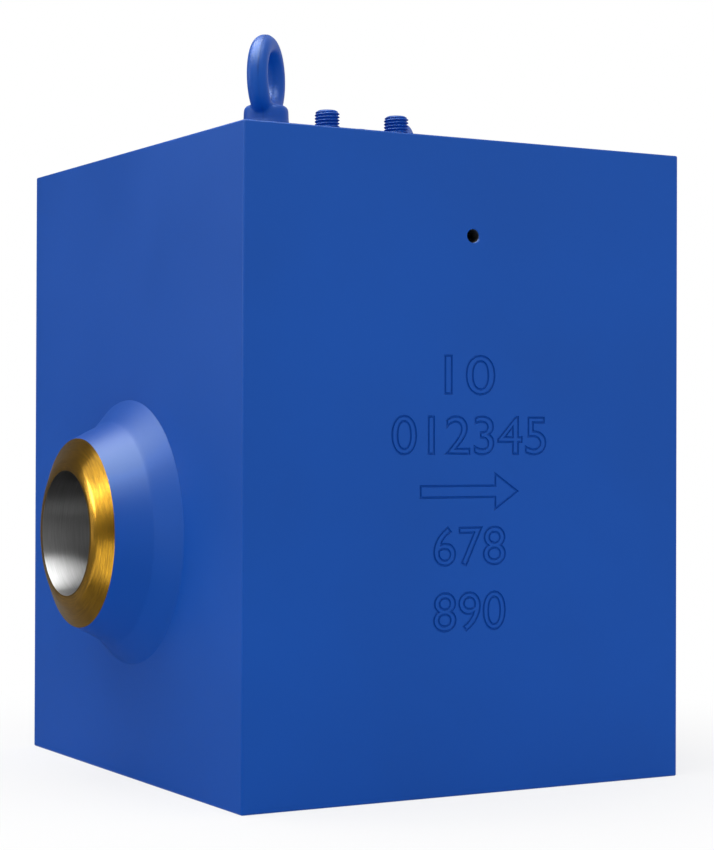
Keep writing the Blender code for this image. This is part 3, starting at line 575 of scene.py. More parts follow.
class ValveColours(bpy.types.PropertyGroup):
    """Colours of the finish, as linear values."""

    paint: FloatVectorProperty(
        name="Paint", description="Blue enamel", subtype="COLOR", size=3, default=(0.0015, 0.062, 0.352)
    )
    paint_gloss: FloatProperty(
        name="Paint Gloss", description="Specular level of the enamel", default=0.15, min=0.0, max=1.0,
        subtype="FACTOR",
    )
    paint_sheen: FloatVectorProperty(
        name="Paint Sheen", description="Tint of the enamel's highlights", subtype="COLOR", size=3,
        default=(0.82, 1.0, 0.86),
    )
    varnish: FloatVectorProperty(
        name="Varnish", description="Golden varnish", subtype="COLOR", size=3, default=(0.95, 0.50, 0.030)
    )
    varnish_dark: FloatVectorProperty(
        name="Dark Varnish", description="Thick or stained varnish", subtype="COLOR", size=3,
        default=(0.34, 0.175, 0.014),
    )
    steel: FloatVectorProperty(
        name="Steel", description="Turned and bored steel", subtype="COLOR", size=3,
        default=(0.62, 0.62, 0.62),
    )
    forged: FloatVectorProperty(
        name="Forged Steel", description="Dark forged steel", subtype="COLOR", size=3,
        default=(0.20, 0.20, 0.21),
    )
    bronze: FloatVectorProperty(
        name="Bronze", description="Bushing bronze", subtype="COLOR", size=3, default=(0.58, 0.34, 0.12)
    )


class ValveStage(bpy.types.PropertyGroup):
    """Light on the stage."""

    world_level: FloatProperty(name="World Level", description="Even light from all round", default=0.86)
    overhead_power: FloatProperty(
        name="Overhead Power", description="Softbox above the valve", default=8.0, unit="POWER"
    )
    side_power: FloatProperty(
        name="Side Power", description="Fill beside the camera", default=3.2, unit="POWER"
    )
    sheen_power: FloatProperty(
        name="Sheen Power", description="Softbox that only reflections see", default=108.0, unit="POWER"
    )
    bounce_power: FloatProperty(
        name="Bounce Power", description="Low strip that lifts the side's foot", default=0.8, unit="POWER"
    )
    glow_power: FloatProperty(
        name="Glow Power", description="Softbox in the near edges' reflections", default=4.0, unit="POWER"
    )
    glint_power: FloatProperty(
        name="Glint Power", description="Small softbox for the weld bevel's lip", default=5.5, unit="POWER"
    )


# Steps

class VALVE_OT_materials(bpy.types.Operator):
    """Builds the shared shader groups and every material."""

    bl_idname = "valve.materials"
    bl_label = "Build Materials"

    def execute(self, context):
        colours = context.scene.valve_colours
        turning, grain = turning_group(), surface_group()
        # Painted shade: the bore's steel gets 0.45 of the steel colour, a darker copy that paints in the
        # shade inside the bore; the neck's steel gets 0.85 of it.
        steel, bored, turned_down = ([share * c for c in colours.steel] for share in (1.0, 0.45, 0.85))
        port, flow = (0, 0, PORT_HEIGHT), (0, pi / 2, 0)
        pin, cross = tuple(middle("hinge_pin")), (pi / 2, 0, 0)
        blackened, graphite = (0.10, 0.10, 0.11), (0.045, 0.045, 0.048)
        paint_material(colours, grain)
        varnish_material(colours, turning)
        bore = steel_material("BoredSteel", turning, bored, port, flow, (0.38, 0.46), 2000.0, 0.00010)
        stretch_reflections(*bore, 0.9, BORE_UV)
        steel_material("NeckSteel", turning, turned_down)
        steel_material("LappedSteel", turning, steel, port, flow, (0.16, 0.26), 3200.0, 0.00004)
        steel_material("PinSteel", turning, steel, pin, cross, (0.18, 0.28), 3000.0, 0.00004)
        steel_material("Bronze", turning, tuple(colours.bronze), pin, cross, (0.26, 0.38))
        rough_material("ForgedSteel", grain, colours.forged, 1.0, 0.52, 1100.0, 0.00012)
        rough_material("BlackenedSteel", grain, blackened, 1.0, 0.44, 1800.0, 0.00004)
        rough_material("Graphite", grain, graphite, 0.3, 0.55, 2400.0, 0.00005)
        return {"FINISHED"}


# The body

def bevelled_block(edge_break):
    """The square forging, its edges broken."""
    work = bmesh.new()
    bmesh.ops.create_cube(work, size=1.0)
    size = Matrix.Diagonal((2 * FACE_X, 2 * FACE_Y, BLOCK_TOP, 1))
    work.transform(Matrix.Translation((0, 0, BLOCK_TOP / 2)) @ size)
    bmesh.ops.bevel(
        work, geom=work.edges, offset=edge_break, segments=4, profile=0.5, affect="EDGES", clamp_overlap=True
    )
    return settled("body_forging", work)


def hub_profile():
    """A weld end outward from the block's face: root flare, ledge, cone, bevel, lip and land."""
    return [
        (0, INSIDE_X), (HUB_RADIUS, INSIDE_X), (HUB_RADIUS, 0),
        (LEDGE_RADIUS + 0.0006, ROOT_REACH - 0.0008), (LEDGE_RADIUS - 0.0001, ROOT_REACH),
        (CONE_ROOT + 0.0001, ROOT_REACH + 0.0008), (CONE_ROOT - 0.0008, ROOT_REACH + 0.0020),
        (PIPE_RADIUS, BEVEL_REACH),
        (CREST_RADIUS + 0.0016, CREST_REACH - 0.0002), (CREST_RADIUS + 0.0004, CREST_REACH + 0.0004),
        (CREST_RADIUS - 0.0006, CREST_REACH + 0.0007),
        (LAND_RADIUS, TIP_REACH - 0.0001), (LAND_RADIUS - 0.0008, TIP_REACH), (0, TIP_REACH),
    ]


def flow_cutter():
    """The bores and the pocket of the seat ring, in one shape along the flow."""
    end = FACE_X + TIP_REACH + OVERCUT
    profile = [
        (0, -end), (PORT_RADIUS, -end), (PORT_RADIUS, SEAT_BACK), (SEAT_POCKET, SEAT_BACK),
        (SEAT_POCKET, INSIDE_X), (PORT_RADIUS, INSIDE_X), (PORT_RADIUS, end), (0, end),
    ]
    return turned("flow_bore", profile, FINE, along((1, 0, 0), (0, 0, PORT_HEIGHT)))


def neck_cutter():
    """Chamber, shoulder, neck, segment groove and plate recess, in one shape."""
    profile = [
        (0, CHAMBER_FLOOR), (CHAMBER_RADIUS - FLOOR_CHAMFER, CHAMBER_FLOOR),
        (CHAMBER_RADIUS, CHAMBER_FLOOR + FLOOR_CHAMFER), (CHAMBER_RADIUS, SHOULDER), (NECK_RADIUS, SHOULDER),
        (NECK_RADIUS, GROOVE_BASE), (GROOVE_RADIUS, GROOVE_BASE), (GROOVE_RADIUS, GROOVE_TOP),
        (NECK_RADIUS, GROOVE_TOP), (NECK_RADIUS, RECESS_BASE), (RECESS_RADIUS, RECESS_BASE),
        (RECESS_RADIUS, BLOCK_TOP - RECESS_BREAK),
        (RECESS_RADIUS + RECESS_BREAK + OVERCUT, BLOCK_TOP + OVERCUT), (0, BLOCK_TOP + OVERCUT),
    ]
    return turned("neck_cavity", profile, FINE)


def knock_out_cutter():
    """The punch hole from the front face to the segment groove, its mouth broken."""
    short_of_neck = 0.002
    end = FACE_Y - NECK_RADIUS - short_of_neck
    profile = [
        (0, -OVERCUT), (KNOCK_OUT_RADIUS + KNOCK_OUT_MOUTH + OVERCUT, -OVERCUT),
        (KNOCK_OUT_RADIUS, KNOCK_OUT_MOUTH), (KNOCK_OUT_RADIUS, end), (0, end),
    ]
    return turned("knock_out", profile, SMALL, along((0, 1, 0), (0, -FACE_Y, KNOCK_OUT_HEIGHT)))


def screw_cutters():
    """Tapped holes for the hanger's screws and the eye bolts."""
    rise = 0.004
    holes = [(node, SCREW_HOLE_RADIUS, SHOULDER + rise) for node in numbered("hanger_screw")]
    holes += [(f"lifting_eye_{side}", EYE_HOLE_RADIUS, BLOCK_TOP + OVERCUT) for side in ("front", "rear")]
    cutters = []
    for node, radius, top in holes:
        x, y, _ = middle(node)
        place = Matrix.Translation((x, y, 0))
        cutters.append(drilled(f"{node}_hole", radius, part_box(node)[0][2] - SEATED, top, place))
    return cutters


def arrow_outline():
    """The flow arrow, in the front face's own plane."""
    half = [(ARROW_TAIL, ARROW_SHAFT), (ARROW_NECK, ARROW_SHAFT), (ARROW_NECK, ARROW_HEAD)]
    low = [Vector((x, ARROW_HEIGHT - rise)) for x, rise in half]
    high = [Vector((x, ARROW_HEIGHT + rise)) for x, rise in reversed(half)]
    return [*low, Vector((ARROW_TIP, ARROW_HEIGHT)), *high]


def wire_loops(mesh):
    """The closed loops of a wire mesh, as lists of points in its plane."""
    neighbours = {}
    for edge in mesh.edges:
        a, b = edge.vertices
        neighbours.setdefault(a, []).append(b)
        neighbours.setdefault(b, []).append(a)
    loops, seen = [], set()
    for first in sorted(neighbours):
        if first in seen:
            continue
        chain, here, last = [], first, None
        while here not in seen:
            seen.add(here)
            chain.append(mesh.vertices[here].co.to_2d())
            ahead = [n for n in neighbours[here] if n != last]
            last, here = here, ahead[0]
        loops.append(chain)
    return loops


def thinned(loop, spacing):
    """A loop without points that lie closer together than the spacing."""
    kept = []
    for point in loop:
        if not kept or (point - kept[-1]).length > spacing:
            kept.append(point)
    while len(kept) > 3 and (kept[0] - kept[-1]).length <= spacing:
        kept.pop()
    return kept


def digit_loops(text, left, right, low, high, growth):
    """Outlines of plain digits, fitted to a row on the front face."""
    font = bpy.data.curves.new("digits", "FONT")
    font.body = text
    font.offset = growth
    font.fill_mode = "NONE"
    font.resolution_u = 5
    holder = link("digits", font)
    mesh = evaluated_mesh(holder)
    with editing(mesh) as work:
        bmesh.ops.remove_doubles(work, verts=work.verts, dist=1e-4)
    loops = wire_loops(mesh)
    bpy.data.objects.remove(holder)
    bpy.data.curves.remove(font)
    bpy.data.meshes.remove(mesh)
    xs, ys = zip(*(point for loop in loops for point in loop))
    x0, y0 = min(xs), min(ys)
    wide, tall = (right - left) / (max(xs) - x0), (high - low) / (max(ys) - y0)
    return [[Vector((left + wide * (x - x0), low + tall * (y - y0))) for x, y in loop] for loop in loops]


def groove_cutter(name, loops, half_width, depth):
    """A rounded groove along closed loops on the front face, for a Boolean."""
    lift, steps, mitre = 0.0006, 6, 2.2
    section = [(-half_width, lift)]
    section += [(-half_width * cos(pi * i / steps), -depth * sin(pi * i / steps)) for i in range(steps + 1)]
    section.append((half_width, lift))
    work = bmesh.new()
    for loop in loops:
        rings = []
        for i, point in enumerate(loop):
            before = (point - loop[i - 1]).normalized()
            after = (loop[(i + 1) % len(loop)] - point).normalized()
            square = Vector((-after.y, after.x))
            side = Vector((-before.y - after.y, before.x + after.x))
            side = side.normalized() if side.length > 1e-9 else square
            reach = min(1 / max(side.dot(square), 0.1), mitre)
            rings.append([
                work.verts.new((point.x + side.x * reach * s, -FACE_Y - d, point.y + side.y * reach * s))
                for s, d in section
            ])
        bridge(work, rings, True)
    return settled(name, work)


def body_region(face):
    """Which finish a face of the forging has."""
    centre = face.calc_center_median()
    margin, skin = 0.0004, 0.004
    off_bore = hypot(centre.y, centre.z - PORT_HEIGHT) > PORT_RADIUS + margin
    outward = abs(centre.x) - FACE_X
    if outward > BEVEL_REACH + 1e-5 and off_bore:
        return VARNISHED
    if outward > -1e-4 and off_bore:
        return PAINTED
    if not off_bore and abs(centre.x) > CHAMBER_RADIUS - 0.02 and abs(face.normal.x) < 0.5:
        return BORED
    inside = abs(centre.x) < FACE_X - skin and abs(centre.y) < FACE_Y - skin
    if inside and skin < centre.z < RECESS_BASE - 1e-4:
        return INNER
    return PAINTED


def on_block_plane(face):
    """Whether a face lies in one of the block's six sides."""
    x, y, z = face.calc_center_median()
    return min(abs(abs(x) - FACE_X), abs(abs(y) - FACE_Y), abs(z), abs(z - BLOCK_TOP)) < 1e-6


def unwrap_bore(face, layer):
    """Lays a face out along the flow and round the bore, its corners in one turn."""
    before = 0.0
    for i, loop in enumerate(face.loops):
        point = loop.vert.co
        angle = atan2(point.z - PORT_HEIGHT, point.y) / (2 * pi)
        angle += round(before - angle) if i else 0
        before = angle
        loop[layer].uv = (10 * point.x, angle)


class VALVE_OT_body(bpy.types.Operator):
    """Forges the square body: weld ends, bores, neck, holes and engraved marks."""

    bl_idname = "valve.body"
    bl_label = "Build Body"

    def execute(self, context):
        sizes = context.scene.valve_sizes
        body = bevelled_block(sizes.edge_break)
        hubs = []
        for side in (-1, 1):
            place = along((side, 0, 0), (side * FACE_X, 0, PORT_HEIGHT))
            hubs.append(turned(f"hub_{side}", hub_profile(), FINE, place, half_step=True))
        combine(body, hubs, "UNION")
        combine(body, [neck_cutter()])
        combine(body, [flow_cutter()])
        combine(body, [knock_out_cutter(), *screw_cutters()])
        marks = [arrow_outline()]
        for row in DIGIT_ROWS:
            loops = digit_loops(*row, sizes.stroke_growth)
            marks += [thinned(loop, sizes.groove_half_width) for loop in loops]
        cutter = groove_cutter("marks", marks, sizes.groove_half_width, sizes.groove_depth)
        combine(body, [cutter], crossing=True)
        dress(body, "BluePaint", "GoldenVarnish", "BoredSteel", "NeckSteel")
        with editing(body.data) as work:
            layer = work.loops.layers.uv.new(BORE_UV)
            for face in work.faces:
                face.material_index = body_region(face)
                unwrap_bore(face, layer)
        smooth(body, 30.0, on_block_plane)
        hand_over(body, CASING, "blue_paint", "body_block")
        return {"FINISHED"}


# Geometry node trees

def copies_on_circle(tree, shape, count, radius, turn, rear_drop=0.0):
    """Instances of a shape on a turned circle, those behind the flow plane a little lower."""
    circle = add_node(tree, "GeometryNodeMeshCircle", Vertices=count, Radius=radius)
    rotation = add_node(tree, "ShaderNodeCombineXYZ", Z=turn).outputs[0]
    spun = add_node(tree, "GeometryNodeTransform", Geometry=circle.outputs[0], Rotation=rotation)
    position = tree.nodes.new("GeometryNodeInputPosition").outputs[0]
    parts = add_node(tree, "ShaderNodeSeparateXYZ", Vector=position).outputs
    drop = math_node(tree, "MULTIPLY", math_node(tree, "GREATER_THAN", parts["Y"], 0.0), rear_drop)
    lower = add_node(tree, "ShaderNodeCombineXYZ", Z=math_node(tree, "MULTIPLY", drop, -1.0))
    points = add_node(tree, "GeometryNodeSetPosition", Geometry=spun.outputs[0], Offset=lower.outputs[0])
    return add_node(
        tree, "GeometryNodeInstanceOnPoints", Points=points.outputs[0], Instance=shape, Rotation=rotation
    ).outputs[0]


def end_tree(tree, geometry, material, output):
    """Realize Instances and Set Material, which close every tree."""
    real = add_node(tree, "GeometryNodeRealizeInstances", Geometry=geometry).outputs[0]
    coloured = add_node(tree, "GeometryNodeSetMaterial", Geometry=real, Material=material)
    tree.links.new(coloured.outputs[0], output["Geometry"])
    return tree


def stud_tree():
    """Threaded studs on a circle: a cylinder whose sides are cut in by a running thread."""
    tree, given, output = new_tree(
        "Threaded Studs",
        {
            "Radius": 0.008, "Base": 0.0, "Top": 0.1, "Tip Chamfer": 0.0024, "Thread Length": 0.03,
            "Pitch": 0.002, "Depth": 0.0009, "Sides": SMALL, "Rows": 300, "Count": 4,
            "Circle Radius": 0.05, "Turn": STUD_TURN, "Rear Drop": 0.0,
        },
    )
    calc = partial(math_node, tree)
    length = calc("SUBTRACT", given["Top"], given["Base"])
    rod = add_node(
        tree, "GeometryNodeMeshCylinder", Vertices=given["Sides"], Side_Segments=given["Rows"],
        Radius=given["Radius"], Depth=length,
    )
    position = tree.nodes.new("GeometryNodeInputPosition").outputs[0]
    x, y, z = add_node(tree, "ShaderNodeSeparateXYZ", Vector=position).outputs
    turns = calc("DIVIDE", calc("ARCTAN2", y, x), 2 * pi)
    along_thread = calc("SUBTRACT", calc("DIVIDE", z, given["Pitch"]), turns)
    swing = calc("COSINE", calc("MULTIPLY", along_thread, 2 * pi))
    wave = calc("SUBTRACT", 0.5, calc("MULTIPLY", swing, 0.5))
    from_end = calc("SUBTRACT", calc("DIVIDE", length, 2.0), calc("ABSOLUTE", z))
    threaded = calc("DIVIDE", calc("SUBTRACT", given["Thread Length"], from_end), given["Pitch"], True)
    sunk = calc("MULTIPLY", calc("MULTIPLY", wave, given["Depth"]), threaded)
    tip = calc("MAXIMUM", calc("SUBTRACT", given["Tip Chamfer"], from_end), 0.0)
    tip = calc("DIVIDE", calc("MULTIPLY", tip, tip), given["Tip Chamfer"])
    cut_in = calc("MAXIMUM", sunk, tip)
    factor = calc("SUBTRACT", 1.0, calc("DIVIDE", cut_in, given["Radius"]))
    centre = calc("DIVIDE", calc("ADD", given["Top"], given["Base"]), 2.0)
    shape = add_node(
        tree, "ShaderNodeCombineXYZ", X=calc("MULTIPLY", x, factor), Y=calc("MULTIPLY", y, factor),
        Z=calc("ADD", z, centre),
    )
    formed = add_node(
        tree, "GeometryNodeSetPosition", Geometry=rod.outputs["Mesh"], Position=shape.outputs[0]
    ).outputs[0]
    circle = [given[label] for label in ("Count", "Circle Radius", "Turn", "Rear Drop")]
    return end_tree(tree, copies_on_circle(tree, formed, *circle), given["Material"], output)


def ring_tree():
    """Copies of one fastener on a circle."""
    tree, given, output = new_tree(
        "Fasteners On A Circle", {"Fastener": None, "Count": 4, "Circle Radius": 0.05, "Turn": STUD_TURN}
    )
    shape = add_node(tree, "GeometryNodeObjectInfo", Object=given["Fastener"]).outputs["Geometry"]
    placed = copies_on_circle(tree, shape, given["Count"], given["Circle Radius"], given["Turn"])
    return end_tree(tree, placed, given["Material"], output)


def run_tree(name, tree, **values):
    """Runs a geometry tree on an empty mesh and keeps its result as a plain mesh."""
    obj = link(name, bpy.data.meshes.new(name))
    modifier = obj.modifiers.new(tree.name, "NODES")
    modifier.node_group = tree
    sockets = {s.name: s.identifier for s in tree.interface.items_tree if s.in_out == "INPUT"}
    for label, value in values.items():
        modifier[sockets[label.replace("_", " ")]] = value
    return baked(obj)


# The cover's fasteners and plate

def nut_shape(flats, low, high, bore):
    """A hexagon nut, chamfered at both ends and counterbored at its thread."""
    corner, face = flats / sqrt(3), NUT_FACE_SHARE * flats / 2
    work = bmesh.new()
    bmesh.ops.create_cone(work, cap_ends=True, segments=6, radius1=corner, radius2=corner, depth=high - low)
    work.transform(Matrix.Translation((0, 0, (low + high) / 2)))
    nut = settled("nut_blank", work)
    drop = (corner - face) * NUT_CHAMFER_SLOPE
    rim = corner + 1e-4
    chamfers = [(0, low), (face, low), (rim, low + drop), (rim, high - drop), (face, high), (0, high)]
    combine(nut, [turned("nut_envelope", chamfers, half_step=True)], "INTERSECT")
    mouth = bore + NUT_LEAD + OVERCUT
    hole = [
        (0, low - OVERCUT), (mouth, low - OVERCUT), (bore, low + NUT_LEAD), (bore, high - NUT_LEAD),
        (mouth, high + OVERCUT), (0, high + OVERCUT),
    ]
    combine(nut, [turned("nut_hole", hole, SMALL)])
    return smooth(break_edges(nut, NUT_EDGE, 35.0), 35.0)


def washer_shape(outer, inner, low, high):
    """A flat washer with broken edges."""
    rim = WASHER_RIM
    profile = [
        (inner, low + rim), (inner + rim, low), (outer - rim, low), (outer, low + rim),
        (outer, high - rim), (outer - rim, high), (inner + rim, high), (inner, high - rim),
    ]
    return smooth(turned("washer_shape", profile, ring=True))


class VALVE_OT_cover_fasteners(bpy.types.Operator):
    """Studs, washers and nuts that draw the cover up."""

    bl_idname = "valve.cover_fasteners"
    bl_label = "Build Cover Fasteners"

    def execute(self, context):
        sizes = context.scene.valve_sizes
        shared = {"Circle_Radius": STUD_CIRCLE, "Material": bpy.data.materials["BluePaint"]}
        low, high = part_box("cover_stud_3")
        stud_radius = radius_of("cover_stud_3")
        studs = run_tree(
            "cover_studs", stud_tree(), Radius=stud_radius, Base=low[2], Top=high[2],
            Thread_Length=STUD_THREAD, Rear_Drop=high[2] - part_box("cover_stud_1")[1][2],
            Pitch=sizes.thread_pitch, Depth=sizes.thread_depth,
            Rows=int((high[2] - low[2]) / sizes.thread_pitch * ROWS_PER_TURN), **shared,
        )
        smooth(studs, 80.0)
        hand_over(studs, CASING, "blue_paint", *numbered("cover_stud"))
        rings = ring_tree()
        low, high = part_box("cover_nut_1")
        nut = nut_shape(NUT_FLATS, low[2], high[2], stud_radius + SEATED)
        nuts = run_tree("cover_nuts", rings, Fastener=nut, **shared)
        hand_over(nuts, CASING, "blue_paint", *numbered("cover_nut"))
        low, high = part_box("cover_washer_1")
        washer = washer_shape(WASHER_RADIUS, stud_radius + 2 * SEATED, low[2], high[2])
        washers = run_tree("cover_washers", rings, Fastener=washer, **shared)
        hand_over(washers, CASING, "blue_paint", *numbered("cover_washer"))
        discard(nut, washer)
        return {"FINISHED"}


class VALVE_OT_retainer(bpy.types.Operator):
    """The round plate that the cover hangs from."""

    bl_idname = "valve.retainer"
    bl_label = "Build Retainer Plate"

    def execute(self, context):
        low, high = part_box("retainer_plate")
        base, top, radius = low[2], high[2], high[0]
        profile = [
            (0, base), (radius - PLATE_RIM, base), (radius, base + PLATE_RIM), (radius, top - PLATE_RIM),
            (radius - PLATE_RIM, top), (0, top),
        ]
        plate = turned("retainer_disc", profile, FINE)
        bore = radius_of("cover_stud_1") + STUD_PASSAGE
        holes = []
        for i in range(4):
            angle = STUD_TURN + i * pi / 2
            place = Matrix.Translation((STUD_CIRCLE * cos(angle), STUD_CIRCLE * sin(angle), 0))
            holes.append(drilled(f"hole_{i}", bore, base - OVERCUT, top + OVERCUT, place))
        combine(plate, holes)
        dress(smooth(plate, 30.0), "BluePaint")
        hand_over(plate, CASING, "blue_paint", "retainer_plate")
        return {"FINISHED"}


# The lifting eyes

def eye_ring(name, stock, height):
    """The ring of an eye bolt, standing in the plane of X and Z."""
    sides, around = 40, 72
    work = bmesh.new()
    rings = []
    for i in range(around):
        a = 2 * pi * i / around
        ring = []
        for k in range(sides):
            b = 2 * pi * k / sides
            reach = EYE_RING + stock * cos(b)
            ring.append(work.verts.new((reach * cos(a), stock * sin(b), height + reach * sin(a))))
        rings.append(ring)
    bridge(work, rings, True)
    return settled(name, work)


def eye_collar(seat):
    """The collar under the ring, its top edge rolled over."""
    rim, top = EYE_COLLAR, seat + EYE_COLLAR_HEIGHT
    profile = [
        (0, seat), (rim - 0.0003, seat), (rim, seat + 0.0006), (rim, seat + 0.0016),
        (rim - 0.0006, seat + 0.0040), (rim - 0.0008, top - 0.0034), (rim - 0.0012, top - 0.0020),
        (rim - 0.0022, top - 0.0009), (rim - 0.0038, top - 0.0002), (rim - 0.0050, top), (0, top),
    ]
    return turned("collar", profile)


def eye_shank(low, seat):
    """The threaded shank, from its end up into the collar."""
    root = EYE_SHANK - EYE_THREAD
    plain, lead, overlap = 0.002, 0.0004, 0.001
    profile = [(0, low), (root, low)]
    for i in range(int((seat - plain - low) / EYE_PITCH)):
        base = low + lead + i * EYE_PITCH
        profile += [(root, base), (EYE_SHANK, base + 0.45 * EYE_PITCH), (EYE_SHANK, base + 0.55 * EYE_PITCH)]
    profile += [(root, seat + overlap), (0, seat + overlap)]
    return turned("shank", profile, SMALL)


def raise_seam(mesh, ring_height, seat, seam_height):
    """Raises the forging seam outside the ring and marks it, fainter below its middle; the paint darkens the
    mark as a painted shade line.
    """
    slope, level, least = 2.5, 0.7, 0.25
    normals = [n.vector.copy() for n in mesh.vertex_normals]
    seam = mesh.attributes.new(SEAM, "FLOAT", "POINT")
    for vertex, normal in zip(mesh.vertices, normals):
        x, y, z = vertex.co
        near = exp(-(((y - SEAM_OFFSET) / SEAM_WIDTH) ** 2))
        near *= min(max(slope * (z - ring_height) / EYE_RING + level, least), 1.0)
        outer = hypot(x, z - ring_height) > EYE_RING
        if outer and abs(normal.y) < 0.6 and z > seat + 0.001:
            vertex.co += normal * (near * seam_height)
        vertex.co.z = max(vertex.co.z, seat)
        seam.data[vertex.index].value = near if outer else 0.0


def forged_eye(name, node, sizes):
    """A forged eye bolt: ring, flared collar and shank, with a raised seam beside its mid-plane."""
    low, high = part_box(node)
    x, y, _ = middle(node)
    ring_height = high[2] - EYE_RING - EYE_STOCK
    seat = BLOCK_TOP + SEATED
    eye = eye_ring(name, EYE_STOCK - sizes.seam_height, ring_height)
    combine(eye, [eye_collar(seat)], "UNION")
    blend = eye.modifiers.new("Blend", "REMESH")
    blend.mode = "VOXEL"
    blend.voxel_size = sizes.eye_voxel
    relax = eye.modifiers.new("Relax", "CORRECTIVE_SMOOTH")
    relax.use_only_smooth = True
    relax.iterations = 8
    relax.factor = 0.5
    relax.rest_source = "ORCO"
    baked(eye)
    raise_seam(eye.data, ring_height, seat, sizes.seam_height)
    combine(eye, [eye_shank(low[2], seat)], "UNION")
    eye.data.transform(Matrix.Translation((x, y, 0)) @ Matrix.Rotation(EYE_TURN, 4, "Z"))
    return smooth(eye, 50.0)


class VALVE_OT_lifting_eyes(bpy.types.Operator):
    """The two forged lifting eye bolts on opposite corners."""

    bl_idname = "valve.lifting_eyes"
    bl_label = "Build Lifting Eyes"

    def execute(self, context):
        for side in ("front", "rear"):
            eye = forged_eye(f"eye_bolt_{side}", f"lifting_eye_{side}", context.scene.valve_sizes)
            hand_over(dress(eye, "BluePaint"), CASING, "blue_paint", f"lifting_eye_{side}")
        return {"FINISHED"}


# The works inside

def machined_copy(name, node, edge):
    """A merged copy of a CAD node with its flat facets joined, its edges broken and its rounds smooth."""
    flat, sharp = 0.6, 30.0
    copy = link(name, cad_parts[node].data.copy())
    with editing(copy.data) as work:
        bmesh.ops.remove_doubles(work, verts=work.verts, dist=2e-6)
        bmesh.ops.dissolve_limit(work, angle_limit=radians(flat), verts=work.verts, edges=work.edges)
    if edge:
        break_edges(copy, edge, sharp)
    return smooth(copy, sharp)


def finish_copies(rows):
    """Machined copies of CAD nodes, each dressed and handed over."""
    for name, node, body, slot, material, edge in rows:
        hand_over(dress(machined_copy(name, node, edge), material), body, slot, node)


class VALVE_OT_swing_gear(bpy.types.Operator):
    """Seat ring, disc with its fixings, arm, pin, bushings and hanger."""

    bl_idname = "valve.swing_gear"
    bl_label = "Build Swing Gear"

    def execute(self, context):
        finish_copies((
            ("lapped_ring", "seat_ring", CASING, "machined_steel", "LappedSteel", 0.0003),
            ("disc_body", "disc", CLOSER, "machined_steel", "LappedSteel", 0.0003),
            ("disc_lock_washer", "disc_washer", CLOSER, "bare_steel", "LappedSteel", 0.0002),
            ("disc_castle_nut", "disc_nut", CLOSER, "bare_steel", "LappedSteel", 0.0002),
            ("disc_split_pin", "disc_cotter_pin", CLOSER, "bare_steel", "PinSteel", 0.0),
            ("swing_arm", "hinge_arm", ARM, "forged_steel", "ForgedSteel", 0.0004),
            ("pivot_pin", "hinge_pin", CASING, "bare_steel", "PinSteel", 0.0002),
            ("pivot_circlip", "pin_circlip", CASING, "blackened_steel", "BlackenedSteel", 0.0),
            ("bushing_front", "hinge_bushing_1", CASING, "bronze", "Bronze", 0.0001),
            ("bushing_rear", "hinge_bushing_2", CASING, "bronze", "Bronze", 0.0001),
            ("hanger_casting", "hanger_bracket", CASING, "forged_steel", "ForgedSteel", 0.0003),
        ))
        return {"FINISHED"}


class VALVE_OT_cover_stack(bpy.types.Operator):
    """Cover, seal, spacer, thrust segments and the hanger's screws."""

    bl_idname = "valve.cover_stack"
    bl_label = "Build Cover Stack"

    def execute(self, context):
        stack = [
            ("pressure_cover", "seal_cover", CASING, "forged_steel", "NeckSteel", 0.0004),
            ("graphite_seal", "seal_ring", CASING, "graphite", "Graphite", 0.0003),
            ("steel_spacer", "spacer_ring", CASING, "machined_steel", "NeckSteel", 0.0003),
        ]
        for i, node in enumerate(numbered("thrust_segment"), 1):
            stack.append((f"segment_{i}", node, CASING, "machined_steel", "NeckSteel", 0.0004))
        for i, node in enumerate(numbered("hanger_screw"), 1):
            stack.append((f"socket_screw_{i}", node, CASING, "blackened_steel", "BlackenedSteel", 0.0002))
        finish_copies(stack)
        return {"FINISHED"}


# The stage

def seen_directly(tree):
    """1 for camera, mirror and glass rays, which see the white backdrop, and 0 for every other ray."""
    path = tree.nodes.new("ShaderNodeLightPath").outputs
    seen = math_node(tree, "MAXIMUM", path["Is Camera Ray"], path["Is Glossy Ray"])
    return math_node(tree, "MAXIMUM", seen, path["Is Transmission Ray"])


def turn_white(tree, factor, shader, white, output):
    """Mixes a shader with a white one by a factor and sends the result out."""
    mix = tree.nodes.new("ShaderNodeMixShader")
    for socket, source in zip(mix.inputs, (factor, shader.outputs[0], white.outputs[0])):
        tree.links.new(source, socket)
    add_node(tree, output, Surface=mix.outputs[0])


def build_world(level):
    """Even grey light, with a white backdrop for camera, mirror and glass rays."""
    world = bpy.data.worlds.new("Studio")
    bpy.context.scene.world = world
    world.use_nodes = True
    tree = world.node_tree
    tree.nodes.clear()
    light = add_node(tree, "ShaderNodeBackground", Strength=level, Color=(1, 1, 1, 1))
    white = add_node(tree, "ShaderNodeBackground", Strength=1.0, Color=(1, 1, 1, 1))
    turn_white(tree, seen_directly(tree), light, white, "ShaderNodeOutputWorld")


def build_floor():
    """A pale floor that keeps the shadow near the valve and turns white away from it."""
    work = bmesh.new()
    bmesh.ops.create_grid(work, x_segments=1, y_segments=1, size=6.0)
    floor = settled("studio_floor", work)
    material = bpy.data.materials.new("PaleFloor")
    material.use_nodes = True
    tree = material.node_tree
    tree.nodes.clear()
    reach = add_node(tree, "ShaderNodeVectorMath")
    reach.operation = "LENGTH"
    tree.links.new(tree.nodes.new("ShaderNodeTexCoord").outputs["Object"], reach.inputs[0])
    near, far, shade = 0.22, 0.45, 0.75
    fade = mapped(tree, reach.outputs["Value"], near, far, shade, 1.0)
    diffuse = add_node(tree, "ShaderNodeBsdfDiffuse", Color=(0.90, 0.90, 0.90, 1))
    white = add_node(tree, "ShaderNodeEmission", Strength=1.0)
    factor = math_node(tree, "MULTIPLY", fade, seen_directly(tree))
    turn_white(tree, factor, diffuse, white, "ShaderNodeOutputMaterial")
    floor.data.materials.append(material)


